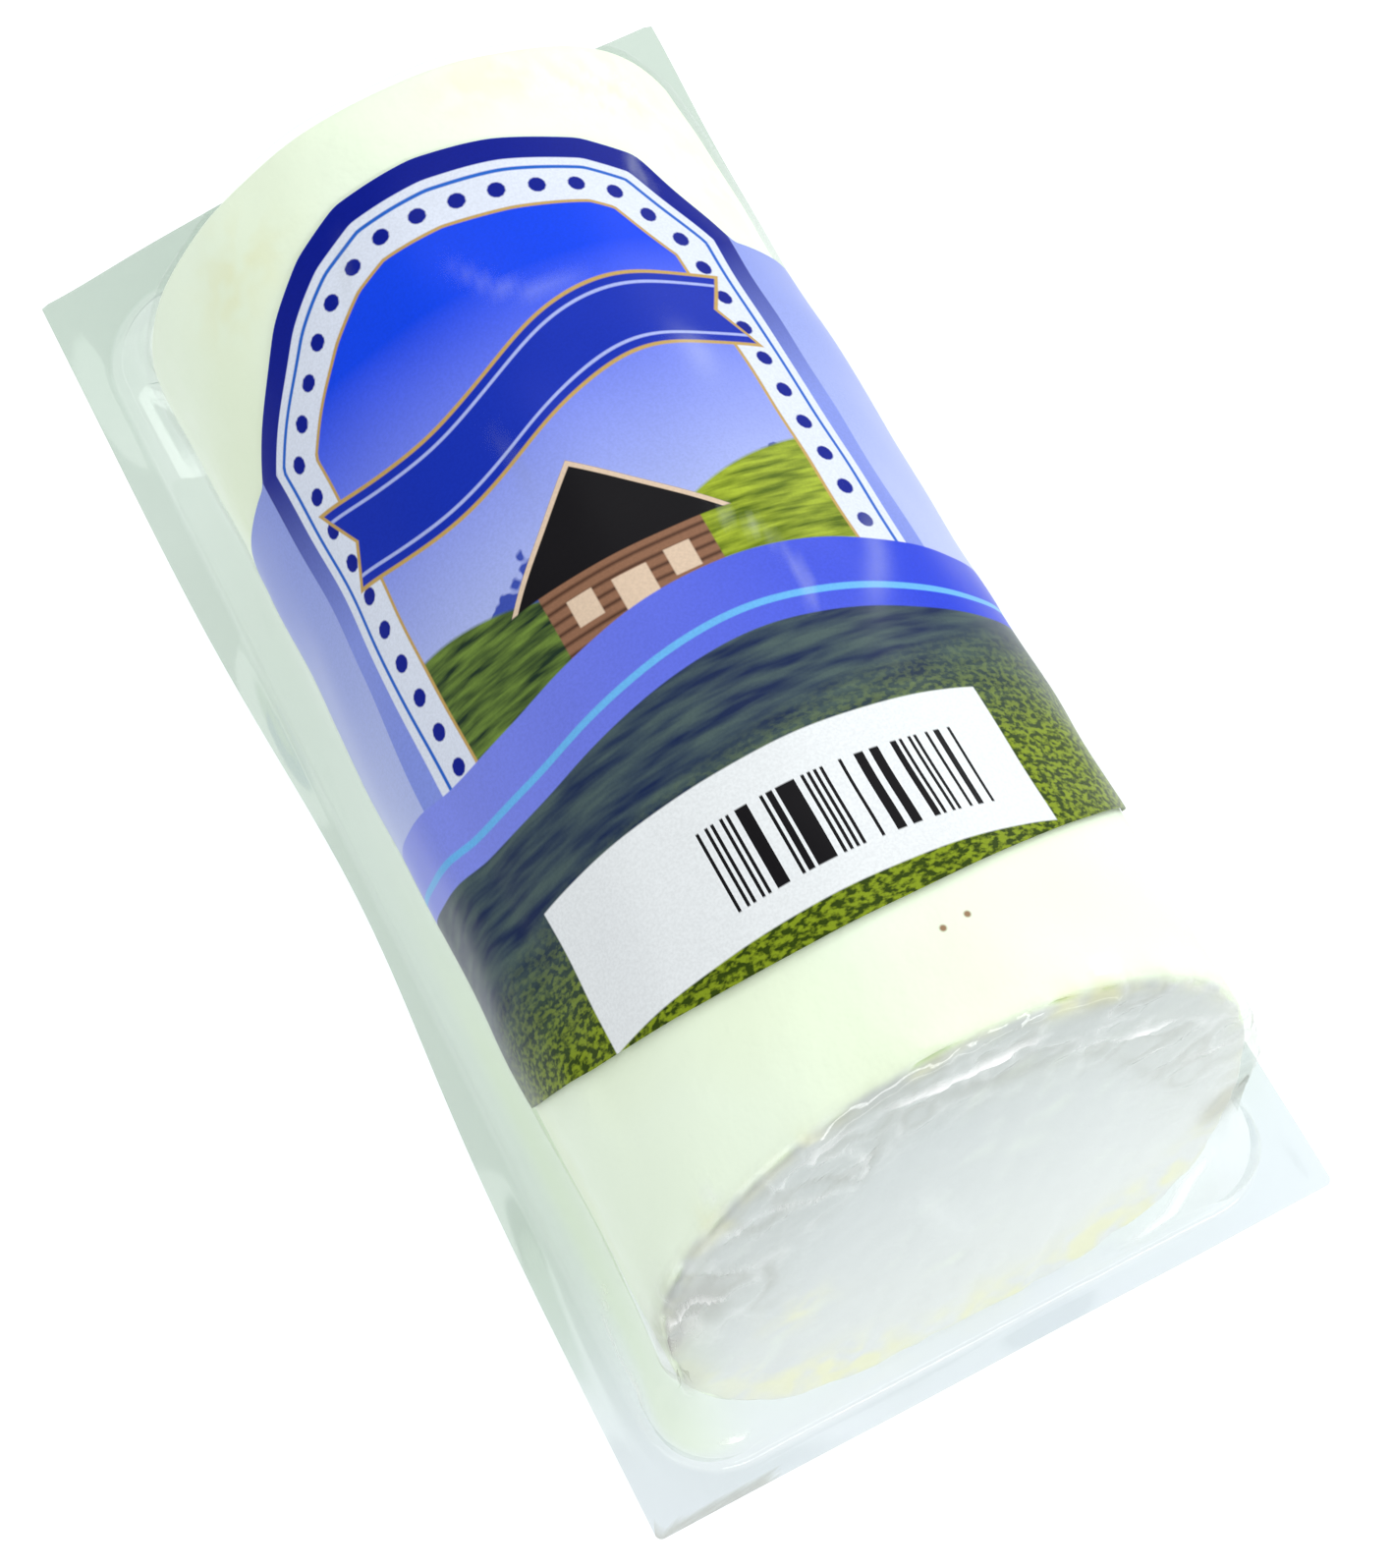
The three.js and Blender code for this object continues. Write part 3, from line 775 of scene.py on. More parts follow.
def build_cheese(sizes, looks):
    """
    The cheese: an oval swept from the slanted near face to the far face, with rounded edges, lumps
    and rims that bulge unevenly. Rows go from the middle of one face to the middle of the other.
    """
    turn = np.linspace(0.0, 2.0 * np.pi, CHEESE_COLUMNS, endpoint=False)
    x, z = oval(sizes, turn, -CHEESE_GAP, CHEESE_FOOT_POWER)
    middle = sizes.log_height / 2.0
    flat = np.linspace(0.0, 1.0, CHEESE_FACE_ROWS, endpoint=False)
    bend = np.linspace(0.0, 0.5 * np.pi, CHEESE_EDGE_ROWS)
    run = np.linspace(0.0, 1.0, CHEESE_ROWS)[1:-1]
    edge = CHEESE_EDGE / sizes.log_half_width
    reach_in = np.concatenate([flat * (1.0 - edge), 1.0 - edge * (1.0 - np.sin(bend))])
    depth_in = np.concatenate([np.zeros(len(flat)), CHEESE_EDGE * (1.0 - np.cos(bend))])
    reach = np.concatenate([reach_in, np.ones(len(run)), reach_in[::-1]])[:, None]
    place_x = reach * x
    place_z = middle + reach * (z - middle)
    foot = fade(place_z, 0.0, FOOT_BULGE_HEIGHT)
    front = front_face(sizes, place_z) + CHEESE_FRONT_GAP - FOOT_BULGE * foot
    back = np.full_like(front, sizes.log_back - CHEESE_BACK_GAP)
    near = front[:len(depth_in)] + depth_in[:, None]
    far = back[-len(depth_in):] - depth_in[::-1][:, None]
    body_front = front[len(depth_in):-len(depth_in)] + CHEESE_EDGE
    body_back = back[len(depth_in):-len(depth_in)] - CHEESE_EDGE
    body = body_front + (body_back - body_front) * run[:, None]
    place_y = np.concatenate([near, body, far])
    points = np.stack([place_x, place_y, place_z], axis=-1).reshape(-1, 3)
    first, triangles = weld(points, grid_quads(place_x.shape[0], CHEESE_COLUMNS, 0, True))
    points = points[first]
    normals = vertex_normals(points, triangles)
    facing = np.abs(normals[:, 1])
    rim = np.exp(-((facing - RIM_FACING) / RIM_SPREAD) ** 2) * (points[:, 1] < 0.0)
    low = fade(points[:, 2], *RIM_LOW_PART)
    small = np.minimum(ripples(points, *SMALL_RAGS), SMALL_RAG_LIMIT)
    ragged = SMALL_RAG_HEIGHT * small + BROAD_RAG_HEIGHT * ripples(points, *BROAD_RAGS)
    lift = log_unevenness(sizes, looks, points) * (1.0 - FACE_LUMPS_CUT * facing) - CHEESE_SINK
    outwards = lift + rim * (RAG_SHARE + RAG_LOW_SHARE * low) * (ragged - RAG_SINK)
    points = points + normals * outwards[:, None]
    points[:, 2] = np.maximum(points[:, 2], CHEESE_FLOOR_GAP)
    return points, triangles


def cheese_looks(sizes, points):
    """
    Masks of the cheese from 0 to 1: its cut near face, and the stains of its rind, a bell over the
    distance from the near face's rim, widest and strongest at its foot, with round patches.
    """
    in_front, rim_share, _ = face_masks(sizes, points)
    cut = fade(points[:, 1] - front_face(sizes, points[:, 2]), *CUT_FACE_DEPTH)
    low = fade(points[:, 2], *RIM_LOW_PART)
    width = STAIN_WIDTH + STAIN_LOW_WIDTH * low
    rim = np.exp(-((rim_share - STAIN_RIM) / width) ** 2) * in_front * (0.5 + 0.5 * low)
    return cut, np.clip(rim + bumps(points, CHEESE_STAINS), 0.0, 1.0)


def label_outline(sizes):
    """The label's arch as angles from its middle line, in degrees, and places along the log."""
    arch = np.array(LABEL_ARCH)
    columns = np.linspace(-LABEL_HALF_ANGLE, LABEL_HALF_ANGLE, LABEL_COLUMNS + 1)
    rise = np.interp(columns / LABEL_ARCH_HALF_ANGLE, arch[:, 0], arch[:, 1], left=0.0, right=0.0)
    blur = np.array([1.0, 2.0, 3.0, 2.0, 1.0]) / 9.0
    soft = np.convolve(np.pad(rise, 2, mode="edge"), blur, mode="valid")
    top = sizes.label_shoulder + (sizes.label_crown - sizes.label_shoulder) * soft
    foot = sizes.label_foot + LABEL_FOOT_BEND * ((columns + LABEL_TURN) / 90.0) ** 2
    return columns, top, foot


def build_label(sizes, looks):
    """The label: a thin closed sheet bent round the log, with its place in the print at each point."""
    columns, top, foot = label_outline(sizes)
    shares = np.linspace(0.0, 1.0, LABEL_ROWS + 1)[:, None]
    y = foot + (top - foot) * shares
    angle = np.radians(np.broadcast_to(columns + LABEL_TURN, y.shape))
    sheets = []
    for depth in (LABEL_DEPTH, LABEL_DEPTH + LABEL_THICKNESS):
        x, z = oval(sizes, angle, -depth, 2.0)
        sheets.append(np.stack([x, y, z], axis=-1).reshape(-1, 3))
    outer, inner = sheets
    radial = outer - inner
    radial /= np.linalg.norm(radial, axis=1, keepdims=True)
    lift = log_unevenness(sizes, looks, outer)[:, None]
    points = np.concatenate([outer + radial * lift, inner + radial * lift])
    rows, wide = y.shape
    quads = grid_quads(rows, wide, 0, False)
    number = np.arange(rows * wide).reshape(rows, wide)
    border = np.concatenate([number[0, :-1], number[:-1, -1], number[-1, :0:-1], number[:0:-1, 0]])
    ahead = np.roll(border, -1)
    under = rows * wide
    edges = np.stack([border + under, ahead + under, ahead, border], axis=1)
    quads = np.concatenate([quads, quads[:, ::-1] + under, edges])
    triangles = np.concatenate([quads[:, [0, 1, 2]], quads[:, [0, 2, 3]]])
    place, bead = print_places(sizes, columns, top, y)
    return points, triangles, np.tile(place, (2, 1)), np.tile(bead, 2)


def bead_centres(line, shoulder, foot, side):
    """
    Centres of a row of beads at one distance inside the window's outline, found along rays from the
    middle of its shoulders and spaced evenly round its arch and down its sides.
    """
    turn = np.radians(np.linspace(-BEAD_SWEEP, BEAD_SWEEP, BEAD_RAYS))
    ray = np.stack([np.sin(turn), np.cos(turn)], axis=1)
    reach = np.arange(0.0, 2.0 * side, BEAD_SEARCH_STEP)
    spots = ray[:, None, :] * reach[None, :, None] + np.array([0.0, shoulder])
    away, _ = follow_line(spots.reshape(-1, 2), line)
    near = away.reshape(len(turn), len(reach)) < BEAD_INSET
    arch = spots[np.arange(len(turn)), near.argmax(axis=1)]
    left = arch[0, 0]
    row = np.concatenate([[(left, foot)], arch, [(-left, foot)]])
    started = np.concatenate([[0.0], np.cumsum(np.linalg.norm(row[1:] - row[:-1], axis=1))])
    places = np.arange(0.5 * BEAD_PITCH, started[-1], BEAD_PITCH)
    return np.stack([np.interp(places, started, row[:, 0]), np.interp(places, started, row[:, 1])], axis=1)


def print_places(sizes, columns, top, y):
    """
    Where each point is in the print, in millimetres: across from the middle line, along the log, and
    inwards from the window's outline, which is the arch with two straight sides. Also how far it is
    from the nearest bead of the border.
    """
    arc = np.radians(1.0) * (sizes.log_half_width + sizes.log_height / 2.0) / 2.0
    across = np.broadcast_to(columns * arc, y.shape)
    inside = np.abs(columns) <= LABEL_ARCH_HALF_ANGLE
    side = LABEL_ARCH_HALF_ANGLE * arc
    line = np.concatenate([
        [(-side, sizes.label_foot)],
        np.stack([columns[inside] * arc, top[inside]], axis=1),
        [(side, sizes.label_foot)],
    ])
    spots = np.stack([across, y], axis=-1).reshape(-1, 2)
    away, _ = follow_line(spots, line)
    inward = np.where(np.abs(spots[:, 0]) > side, -away, away)
    bead = np.full(len(spots), np.inf)
    for centre in bead_centres(line, sizes.label_shoulder, sizes.label_foot, side):
        bead = np.minimum(bead, np.linalg.norm(spots - centre, axis=1))
    return np.concatenate([spots, inward[:, None]], axis=1), bead


def srgb(red, green, blue):
    """A display colour of 0 to 255 as a linear colour with full alpha."""
    shown = np.array([red, green, blue]) / 255.0
    linear = np.where(shown <= 0.04045, shown / 12.92, ((shown + 0.055) / 1.055) ** 2.4)
    return (*linear.tolist(), 1.0)


# Colours of the print.
NAVY = srgb(4, 26, 148)
RIBBON_BLUE = srgb(20, 50, 186)
SKY_BLUE = srgb(16, 72, 246)
LAVENDER = srgb(178, 190, 248)
LAVENDER_DEEP = srgb(138, 155, 238)
LAVENDER_PALE = srgb(194, 205, 251)
LINE_BLUE = srgb(36, 104, 210)
LIGHT_BLUE = srgb(112, 190, 252)
BAND_PALE = srgb(140, 152, 247)
BAND_BLUE = srgb(40, 68, 228)
WHITE = srgb(246, 249, 253)
PALE_BLUE = srgb(232, 238, 255)
GOLD = srgb(204, 168, 98)
SLATE_BLUE = srgb(64, 84, 184)
SLATE_DARK = srgb(28, 44, 84)
SLATE_GREEN = srgb(92, 112, 106)
MEADOW_DARK = srgb(54, 72, 12)
MEADOW_LIGHT = srgb(140, 160, 34)
BARK_BROWN = srgb(150, 108, 84)
DARK_BROWN = srgb(92, 62, 48)
NEAR_BLACK = srgb(22, 20, 24)
CREAM = srgb(232, 206, 182)

# Places in the print, in millimetres: across from the middle line, along the log or inside the outline.
BORDER_RISE = (8.0, 36.0)
BORDER_NAVY = (0.0, 3.7)
BORDER_WHITE = (3.7, 11.5)
BORDER_LINE = (5.1, 5.7)
BORDER_GOLD = (11.4, 12.1)
WINDOW_EDGE = 11.9
PATTERN_SHIFT = 90.0
SKY_RUN = (-4.0, 38.0)
PEAK_WIDTH = 17.0
PEAK_SLOPE = 0.42
PEAK_ROUGHNESS = 5.0
PEAK_FOOT = -9.0
HUT_HALF_WIDTH = 11.5
HUT_WALL = (-19.0, -4.5)
PLANK_HALF_WIDTH = 0.8
PLANK_EDGE = 0.55
ROOF_TOP = 8.5
ROOF_FOOT = -6.5
ROOF_SLOPE = 1.05
ROOF_TRIM = 1.0
DOOR_HALF_WIDTH = 2.4
DOOR_TOP = -9.5
PANE_ACROSS = (5.0, 8.6)
PANE_ALONG = (-13.0, -9.0)
RIBBON_PLACE = 21.0
RIBBON_TILT = 0.12
RIBBON_BEND = 3.2
RIBBON_TURN = 0.11
RIBBON_HALF_LENGTH = 31.0
RIBBON_NOTCH = 0.55
RIBBON_HALF_WIDTH = 6.6
RIBBON_EDGE = 0.6
RIBBON_LINE = (4.3, 4.8)
WAVE_HEIGHT = 2.6
WAVE_TURN = 0.075
WAVE_START = 0.9
RANGE_TOP = -24.0
MEADOW_RUN = (-54.0, -36.0)
MEADOW_TILT = -0.12
WAVY_BAND = (-27.0, -16.0)
WAVY_LINE = (-24.2, -23.2)
WAVY_SHADE_RUN = (-45.0, 40.0)
PANEL_SAG = 0.0012
PANEL_ACROSS = (-32.5, 34.0)
PANEL_ALONG = (-60.5, -39.5)
BAR_WIDTH = 0.42
BARS_ACROSS = (-9.0, 27.0)
BARS_ALONG = (-56.5, -45.0)
SIDE_SHADE_RUN = (-25.0, 45.0)

# Levels of noise that streaks in the print spread over 0 to 1.
STREAK_SPREAD = (0.32, 0.68)

# Meadows in the window: middle, crest, bend, dark and light colour, and the turn of the grass.
MEADOWS = (
    (-30.0, -3.0, 0.011, srgb(34, 54, 40), srgb(118, 146, 64), -0.5),
    (33.0, 1.0, 0.010, srgb(88, 110, 14), srgb(176, 194, 56), 0.35),
)

# Colours of the cheese, besides its main one.
CHEESE_WARM = srgb(229, 240, 204)
FACE_PALE = srgb(219, 221, 223)
FACE_GREY = srgb(184, 188, 193)
STAIN_YELLOW = srgb(232, 232, 184)
SPECK_BROWN = srgb(150, 120, 90)

# Colours of the film: its milk, and what one layer of it lets through. The warm colours are a painted
# reflection of the cheese, the colours of folds painted shade, the milk of creases a painted highlight,
# and the grazing colour painted shade towards a grazing view.
MILK = srgb(222, 232, 228)
MILK_WARM_REFLECTION = srgb(222, 236, 196)
MILK_FOLD_SHADE = srgb(190, 190, 188)
MILK_CREASE_HIGHLIGHT = srgb(253, 253, 253)
FILM_CLEAR = (0.985, 0.99, 0.985, 1.0)
FILM_GREEN = (0.70, 0.765, 0.71, 1.0)
FILM_BLUE = (0.83, 0.86, 0.885, 1.0)
FILM_FOLD_SHADE = (0.70, 0.705, 0.66, 1.0)
FILM_WARM_REFLECTION = (0.86, 0.93, 0.80, 1.0)
FILM_GRAZING_SHADE = (0.60, 0.62, 0.61, 1.0)
FILM_LIT = (0.94, 0.955, 0.945, 1.0)

# The stage, in metres, watts and degrees.
FLOOR_REACH = 3.0
FLOOR_GREY = srgb(170, 170, 170)
FLOOR_GLOW = 0.75
WORLD_STRENGTH = 0.65

# Lights: a name, a place, an aim, a width, a depth and a power.
LIGHTS = (
    ("strip_front", (0.12, -0.82, 0.74), (0.0, -0.02, 0.03), 0.9, 0.15, 3.2),
    ("strip_low", (0.15, -0.9, 0.1), (0.0, -0.09, 0.04), 0.7, 0.12, 1.0),
    ("panel_right", (0.8, 0.3, 1.0), (0.0, 0.0, 0.04), 1.8, 1.8, 9.4),
    ("softbox_left", (-0.85, -0.4, 0.7), (0.0, 0.0, 0.04), 0.35, 0.35, 0.4),
    ("softbox_right", (0.85, 0.37, 0.42), (0.0, 0.0, 0.04), 0.35, 0.35, 1.2),
    ("softbox_back", (0.1, 0.95, 0.9), (0.0, 0.0, 0.03), 0.4, 0.4, 2.2),
)

# The camera, with its lens and sensor in millimetres.
CAMERA_PLACE = (-0.06777, -0.17324, 0.41556)
CAMERA_AIM = (-0.00416, -0.02354, 0.041)
CAMERA_ROLL = -4.73
CAMERA_LENS = 68.1
CAMERA_SENSOR = 36.0
CAMERA_NEAR = 0.01


class Graph:
    """Adds nodes to one node tree and joins them; most calls give back an output socket."""

    def __init__(self, tree):
        self.tree = tree

    def feed(self, socket, value):
        """Joins a socket to an input, or sets the input's own value."""
        if isinstance(value, bpy.types.NodeSocket):
            self.tree.links.new(value, socket)
        else:
            socket.default_value = value

    def node(self, kind, inputs, **settings):
        """A node with settings and inputs, the inputs keyed by name or number."""
        made = self.tree.nodes.new(kind)
        for name, value in settings.items():
            setattr(made, name, value)
        for key, value in inputs.items():
            self.feed(made.inputs[key], value)
        return made

    def math(self, operation, *values):
        """One arithmetic step."""
        return self.node("ShaderNodeMath", dict(enumerate(values)), operation=operation).outputs[0]

    def ramp(self, value, low, high):
        """A straight rise from 0 at low to 1 at high, held beyond them."""
        return self.node("ShaderNodeMapRange", {0: value, 1: low, 2: high}).outputs[0]

    def over(self, value, edge, soft=0.12):
        """0 under an edge and 1 over it, with a soft step."""
        return self.ramp(self.math("SUBTRACT", value, edge), -soft, soft)

    def between(self, value, low, high, soft=0.12):
        """1 between two edges, with soft steps."""
        return self.times(self.over(value, low, soft), self.over(high, value, soft))

    def chain(self, operation, values):
        """One arithmetic step carried through a row of numbers."""
        result = values[0]
        for value in values[1:]:
            result = self.math(operation, result, value)
        return result

    def times(self, *values):
        """The product of numbers, or of masks."""
        return self.chain("MULTIPLY", values)

    def plus(self, *values):
        """The sum of numbers."""
        return self.chain("ADD", values)

    def paint(self, under, mask, colour):
        """One colour laid over another by a mask."""
        return self.node("ShaderNodeMix", {0: mask, 6: under, 7: colour}, data_type="RGBA").outputs[2]

    def streaks(self, across, along, turn, stretch, scale):
        """Noise drawn out along one direction of the print, spread over 0 to 1."""
        flat = self.node("ShaderNodeCombineXYZ", {0: across, 1: along}).outputs[0]
        turned = self.node("ShaderNodeMapping", {"Vector": flat, "Rotation": (0.0, 0.0, turn),
                                                 "Scale": (scale / stretch, scale, 1.0)}).outputs[0]
        noise = self.node("ShaderNodeTexNoise", {"Vector": turned, "Scale": 1.0, "Detail": 2.0})
        return self.ramp(noise.outputs["Fac"], *STREAK_SPREAD)

    def attribute(self, name):
        """A named number of the mesh."""
        return self.node("ShaderNodeAttribute", {}, attribute_name=name).outputs["Fac"]

    def parts(self, vector):
        """The three numbers of a vector."""
        return self.node("ShaderNodeSeparateXYZ", {0: vector}).outputs

    def attributes(self, name):
        """The three numbers of a named vector of the mesh."""
        return self.parts(self.node("ShaderNodeAttribute", {}, attribute_name=name).outputs["Vector"])

    def object_places(self):
        """Places in the object's own coordinates."""
        return self.tree.nodes.new("ShaderNodeTexCoord").outputs["Object"]

    def group(self, tree, inputs):
        """A shared node group's first output."""
        return self.node("ShaderNodeGroup", inputs, node_tree=tree).outputs[0]


def new_group(name, inputs):
    """An empty node group with number inputs and one number output."""
    tree = bpy.data.node_groups.new(name, "ShaderNodeTree")
    for label, value in inputs.items():
        socket = tree.interface.new_socket(name=label, in_out="INPUT", socket_type="NodeSocketFloat")
        socket.default_value = value
    tree.interface.new_socket(name="Value", in_out="OUTPUT", socket_type="NodeSocketFloat")
    return Graph(tree), tree.nodes.new("NodeGroupInput"), tree.nodes.new("NodeGroupOutput")


def mottle_group():
    """Soft blotches on object coordinates: noise of a scale, spread between two levels."""
    graph, entry, leave = new_group("Mottle", {"Scale": 100.0, "Shift": 0.0, "Low": 0.4, "High": 0.6})
    shift = {0: graph.object_places(), 1: entry.outputs["Shift"]}
    moved = graph.node("ShaderNodeVectorMath", shift, operation="ADD").outputs[0]
    noise = graph.node("ShaderNodeTexNoise", {
        "Vector": moved, "Detail": 1.0, "Scale": entry.outputs["Scale"]})
    spread = graph.ramp(noise.outputs["Fac"], entry.outputs["Low"], entry.outputs["High"])
    graph.feed(leave.inputs[0], spread)
    return graph.tree


def new_material(name):
    """An empty node material and its graph."""
    material = bpy.data.materials.new(name)
    material.use_nodes = True
    material.node_tree.nodes.clear()
    return material, Graph(material.node_tree)


def finish_material(graph, shader):
    """Joins a shader to the material's output."""
    graph.node("ShaderNodeOutputMaterial", {"Surface": shader})


def cheese_material(looks, mottle):
    """
    Ivory fresh cheese: warm blotches, a cut face that greys towards its upper left, yellow stains in
    patches, two specks, and a fine grain that roughens it.
    """
    material, graph = new_material("fresh_cheese")
    warm = graph.group(mottle, {"Scale": 30.0, "Shift": 1.0, "Low": 0.4, "High": 0.66})
    colour = graph.paint((*looks.cheese, 1.0), graph.times(warm, 0.4), CHEESE_WARM)
    spots = graph.object_places()
    place = graph.parts(spots)
    slanted = graph.math("MULTIPLY_ADD", place["X"], FACE_SHADE_SLANT, place["Z"])
    low, high = FACE_SHADE_RISE
    face_tone = graph.paint(FACE_PALE, graph.ramp(slanted, low * MM, high * MM), FACE_GREY)
    colour = graph.paint(colour, graph.times(graph.attribute("cut_face"), 0.85), face_tone)
    patches = graph.group(mottle, {"Scale": 220.0, "Shift": 4.0, "Low": 0.36, "High": 0.6})
    colour = graph.paint(colour, graph.times(graph.attribute("stain"), patches, 0.65), STAIN_YELLOW)
    for speck in CHEESE_SPECKS:
        away = graph.node("ShaderNodeVectorMath", {0: spots, 1: [value * MM for value in speck]},
                          operation="DISTANCE").outputs["Value"]
        colour = graph.paint(colour, graph.over(SPECK_RADIUS * MM, away, 0.15 * MM), SPECK_BROWN)
    fine = graph.group(mottle, {"Scale": 900.0, "Shift": 2.0, "Low": 0.3, "High": 0.7})
    coarse = graph.group(mottle, {"Scale": 240.0, "Shift": 3.0, "Low": 0.3, "High": 0.7})
    height = graph.plus(graph.times(coarse, 0.7), graph.times(fine, 0.3))
    bump = graph.node("ShaderNodeBump", {"Height": height, "Strength": 0.25, "Distance": 0.0004})
    roughness = graph.plus(graph.times(coarse, 0.2), 0.4)
    shader = graph.node("ShaderNodeBsdfPrincipled", {
        "Base Color": colour, "Roughness": roughness, "Normal": bump.outputs[0], "Specular IOR Level": 0.2})
    finish_material(graph, shader.outputs[0])
    return material


def film_material(looks):
    """
    Clear film, tinted and milky where it lies off the cheese, with painted grey shade in its folds, white
    creases that carry painted highlights, a warm painted reflection of the cheese on the near left wall,
    painted shade towards a grazing view, and sharp reflections that grow at a grazing view. Light that
    reaches what is inside goes through it plainly.
    """
    material, graph = new_material("clear_film")
    loose, fold_shade, crease = graph.attributes("film_marks")
    patchy, shine, front = graph.attributes("film_gloss")
    warm_reflection = graph.attribute("film_warm_reflection")
    facing = graph.node("ShaderNodeLayerWeight", {"Blend": 0.5}).outputs["Facing"]
    tint = graph.paint(FILM_CLEAR, loose, graph.paint(FILM_GREEN, front, FILM_BLUE))
    # Painted reflection of the cheese: a warm tint on the near left wall.
    tint = graph.paint(tint, graph.times(warm_reflection, 0.7), FILM_WARM_REFLECTION)
    # Painted shade: the film greys and darkens in its folds, its crumpled band and its pockets.
    tint = graph.paint(tint, fold_shade, FILM_FOLD_SHADE)
    # Painted shade: the film darkens towards a grazing view, as at the log's silhouettes.
    tint = graph.paint(tint, graph.times(graph.math("POWER", facing, 2.2), 0.12), FILM_GRAZING_SHADE)
    amount = graph.times(loose, patchy, looks.haze)
    milk = MILK
    # Milk laid on: a warm painted reflection of the cheese, painted shade in folds, painted highlights on
    # creases.
    layers = ((warm_reflection, 0.2, MILK_WARM_REFLECTION), (fold_shade, 0.15, MILK_FOLD_SHADE), (crease, 0.75, MILK_CREASE_HIGHLIGHT))
    for mask, strength, shade in layers:
        amount = graph.math("MULTIPLY_ADD", mask, strength, amount)
        milk = graph.paint(milk, mask, shade)
    clear = graph.node("ShaderNodeBsdfTransparent", {"Color": tint}).outputs[0]
    milky = graph.node("ShaderNodeBsdfDiffuse", {"Color": milk}).outputs[0]
    body = graph.node("ShaderNodeMixShader", {0: amount, 1: clear, 2: milky}).outputs[0]
    gloss = {"Color": (1.0, 1.0, 1.0, 1.0), "Roughness": 0.08}
    mirror = graph.node("ShaderNodeBsdfGlossy", gloss).outputs[0]
    grazing = graph.times(graph.math("POWER", facing, 5.0), graph.math("MULTIPLY_ADD", shine, 0.45, 0.15))
    mirrored = graph.math("MULTIPLY_ADD", shine, 0.07, graph.plus(grazing, -0.01))
    mirrored = graph.math("MAXIMUM", mirrored, 0.0)
    seen = graph.node("ShaderNodeMixShader", {0: mirrored, 1: body, 2: mirror}).outputs[0]
    lit = graph.node("ShaderNodeBsdfTransparent", {"Color": FILM_LIT}).outputs[0]
    direct = graph.tree.nodes.new("ShaderNodeLightPath").outputs["Is Camera Ray"]
    finish_material(graph, graph.node("ShaderNodeMixShader", {0: direct, 1: lit, 2: seen}).outputs[0])
    return material


def window_print(graph, colour, across, along, inward):
    """
    The picture in the arched window: a sky that pales downwards, a far range of even peaks with a rough
    edge, two meadows with bowed crests, and a hut with plank walls, a gable roof, a door and two panes.
    """
    picture = graph.paint(LAVENDER, graph.ramp(along, *SKY_RUN), SKY_BLUE)
    peaks = graph.math("PINGPONG", graph.plus(across, PATTERN_SHIFT), PEAK_WIDTH)
    rough = graph.streaks(across, along, 0.0, 1.0, 0.22)
    ridge = graph.plus(graph.times(peaks, PEAK_SLOPE), graph.times(rough, PEAK_ROUGHNESS), PEAK_FOOT)
    picture = graph.paint(picture, graph.over(ridge, along, 0.3), SLATE_BLUE)
    for centre, crest, bend, dark, light, turn in MEADOWS:
        aside = graph.plus(across, -centre)
        crest_line = graph.math("SUBTRACT", crest, graph.times(aside, aside, bend))
        grass = graph.streaks(across, along, turn, 7.0, 0.9)
        picture = graph.paint(picture, graph.over(crest_line, along, 0.25), graph.paint(dark, grass, light))
    wide = graph.math("ABSOLUTE", across)
    planks = graph.math("PINGPONG", graph.plus(along, PATTERN_SHIFT), PLANK_HALF_WIDTH)
    wood = graph.paint(BARK_BROWN, graph.over(planks, PLANK_EDGE, 0.2), DARK_BROWN)
    slope = graph.times(graph.math("SUBTRACT", ROOF_TOP, along), ROOF_SLOPE)
    under_edge = graph.math("SUBTRACT", slope, wide)
    over_eaves = graph.over(along, ROOF_FOOT)
    hut_foot, _ = HUT_WALL
    hut = (
        (graph.times(graph.over(HUT_HALF_WIDTH, wide), graph.between(along, *HUT_WALL)), wood),
        (graph.times(graph.over(slope, wide), over_eaves), NEAR_BLACK),
        (graph.times(graph.between(under_edge, 0.0, ROOF_TRIM), over_eaves), CREAM),
        (graph.times(graph.over(DOOR_HALF_WIDTH, wide), graph.between(along, hut_foot, DOOR_TOP)), CREAM),
        (graph.times(graph.between(wide, *PANE_ACROSS), graph.between(along, *PANE_ALONG)), CREAM),
    )
    for mask, shade in hut:
        picture = graph.paint(picture, mask, shade)
    return graph.paint(colour, graph.over(inward, WINDOW_EDGE), picture)


def ribbon_print(graph, colour, across, along):
    """A bare waving ribbon in the sky, along a tilted sine, with gold edges, a thin line and cut ends."""
    bend = graph.times(graph.math("SINE", graph.times(across, RIBBON_TURN)), RIBBON_BEND)
    centre = graph.plus(bend, RIBBON_PLACE, graph.times(across, RIBBON_TILT))
    away = graph.math("ABSOLUTE", graph.math("SUBTRACT", along, centre))
    wide = graph.math("ABSOLUTE", across)
    tail = graph.plus(graph.times(away, RIBBON_NOTCH), RIBBON_HALF_LENGTH)
    shorter = graph.over(graph.plus(tail, -RIBBON_EDGE), wide)
    gold = graph.times(graph.over(RIBBON_HALF_WIDTH, away), graph.over(tail, wide))
    blue = graph.times(graph.over(RIBBON_HALF_WIDTH - RIBBON_EDGE, away), shorter)
    line = graph.times(graph.between(away, *RIBBON_LINE), shorter)
    for mask, shade in ((gold, GOLD), (blue, RIBBON_BLUE), (line, LAVENDER)):
        colour = graph.paint(colour, mask, shade)
    return colour


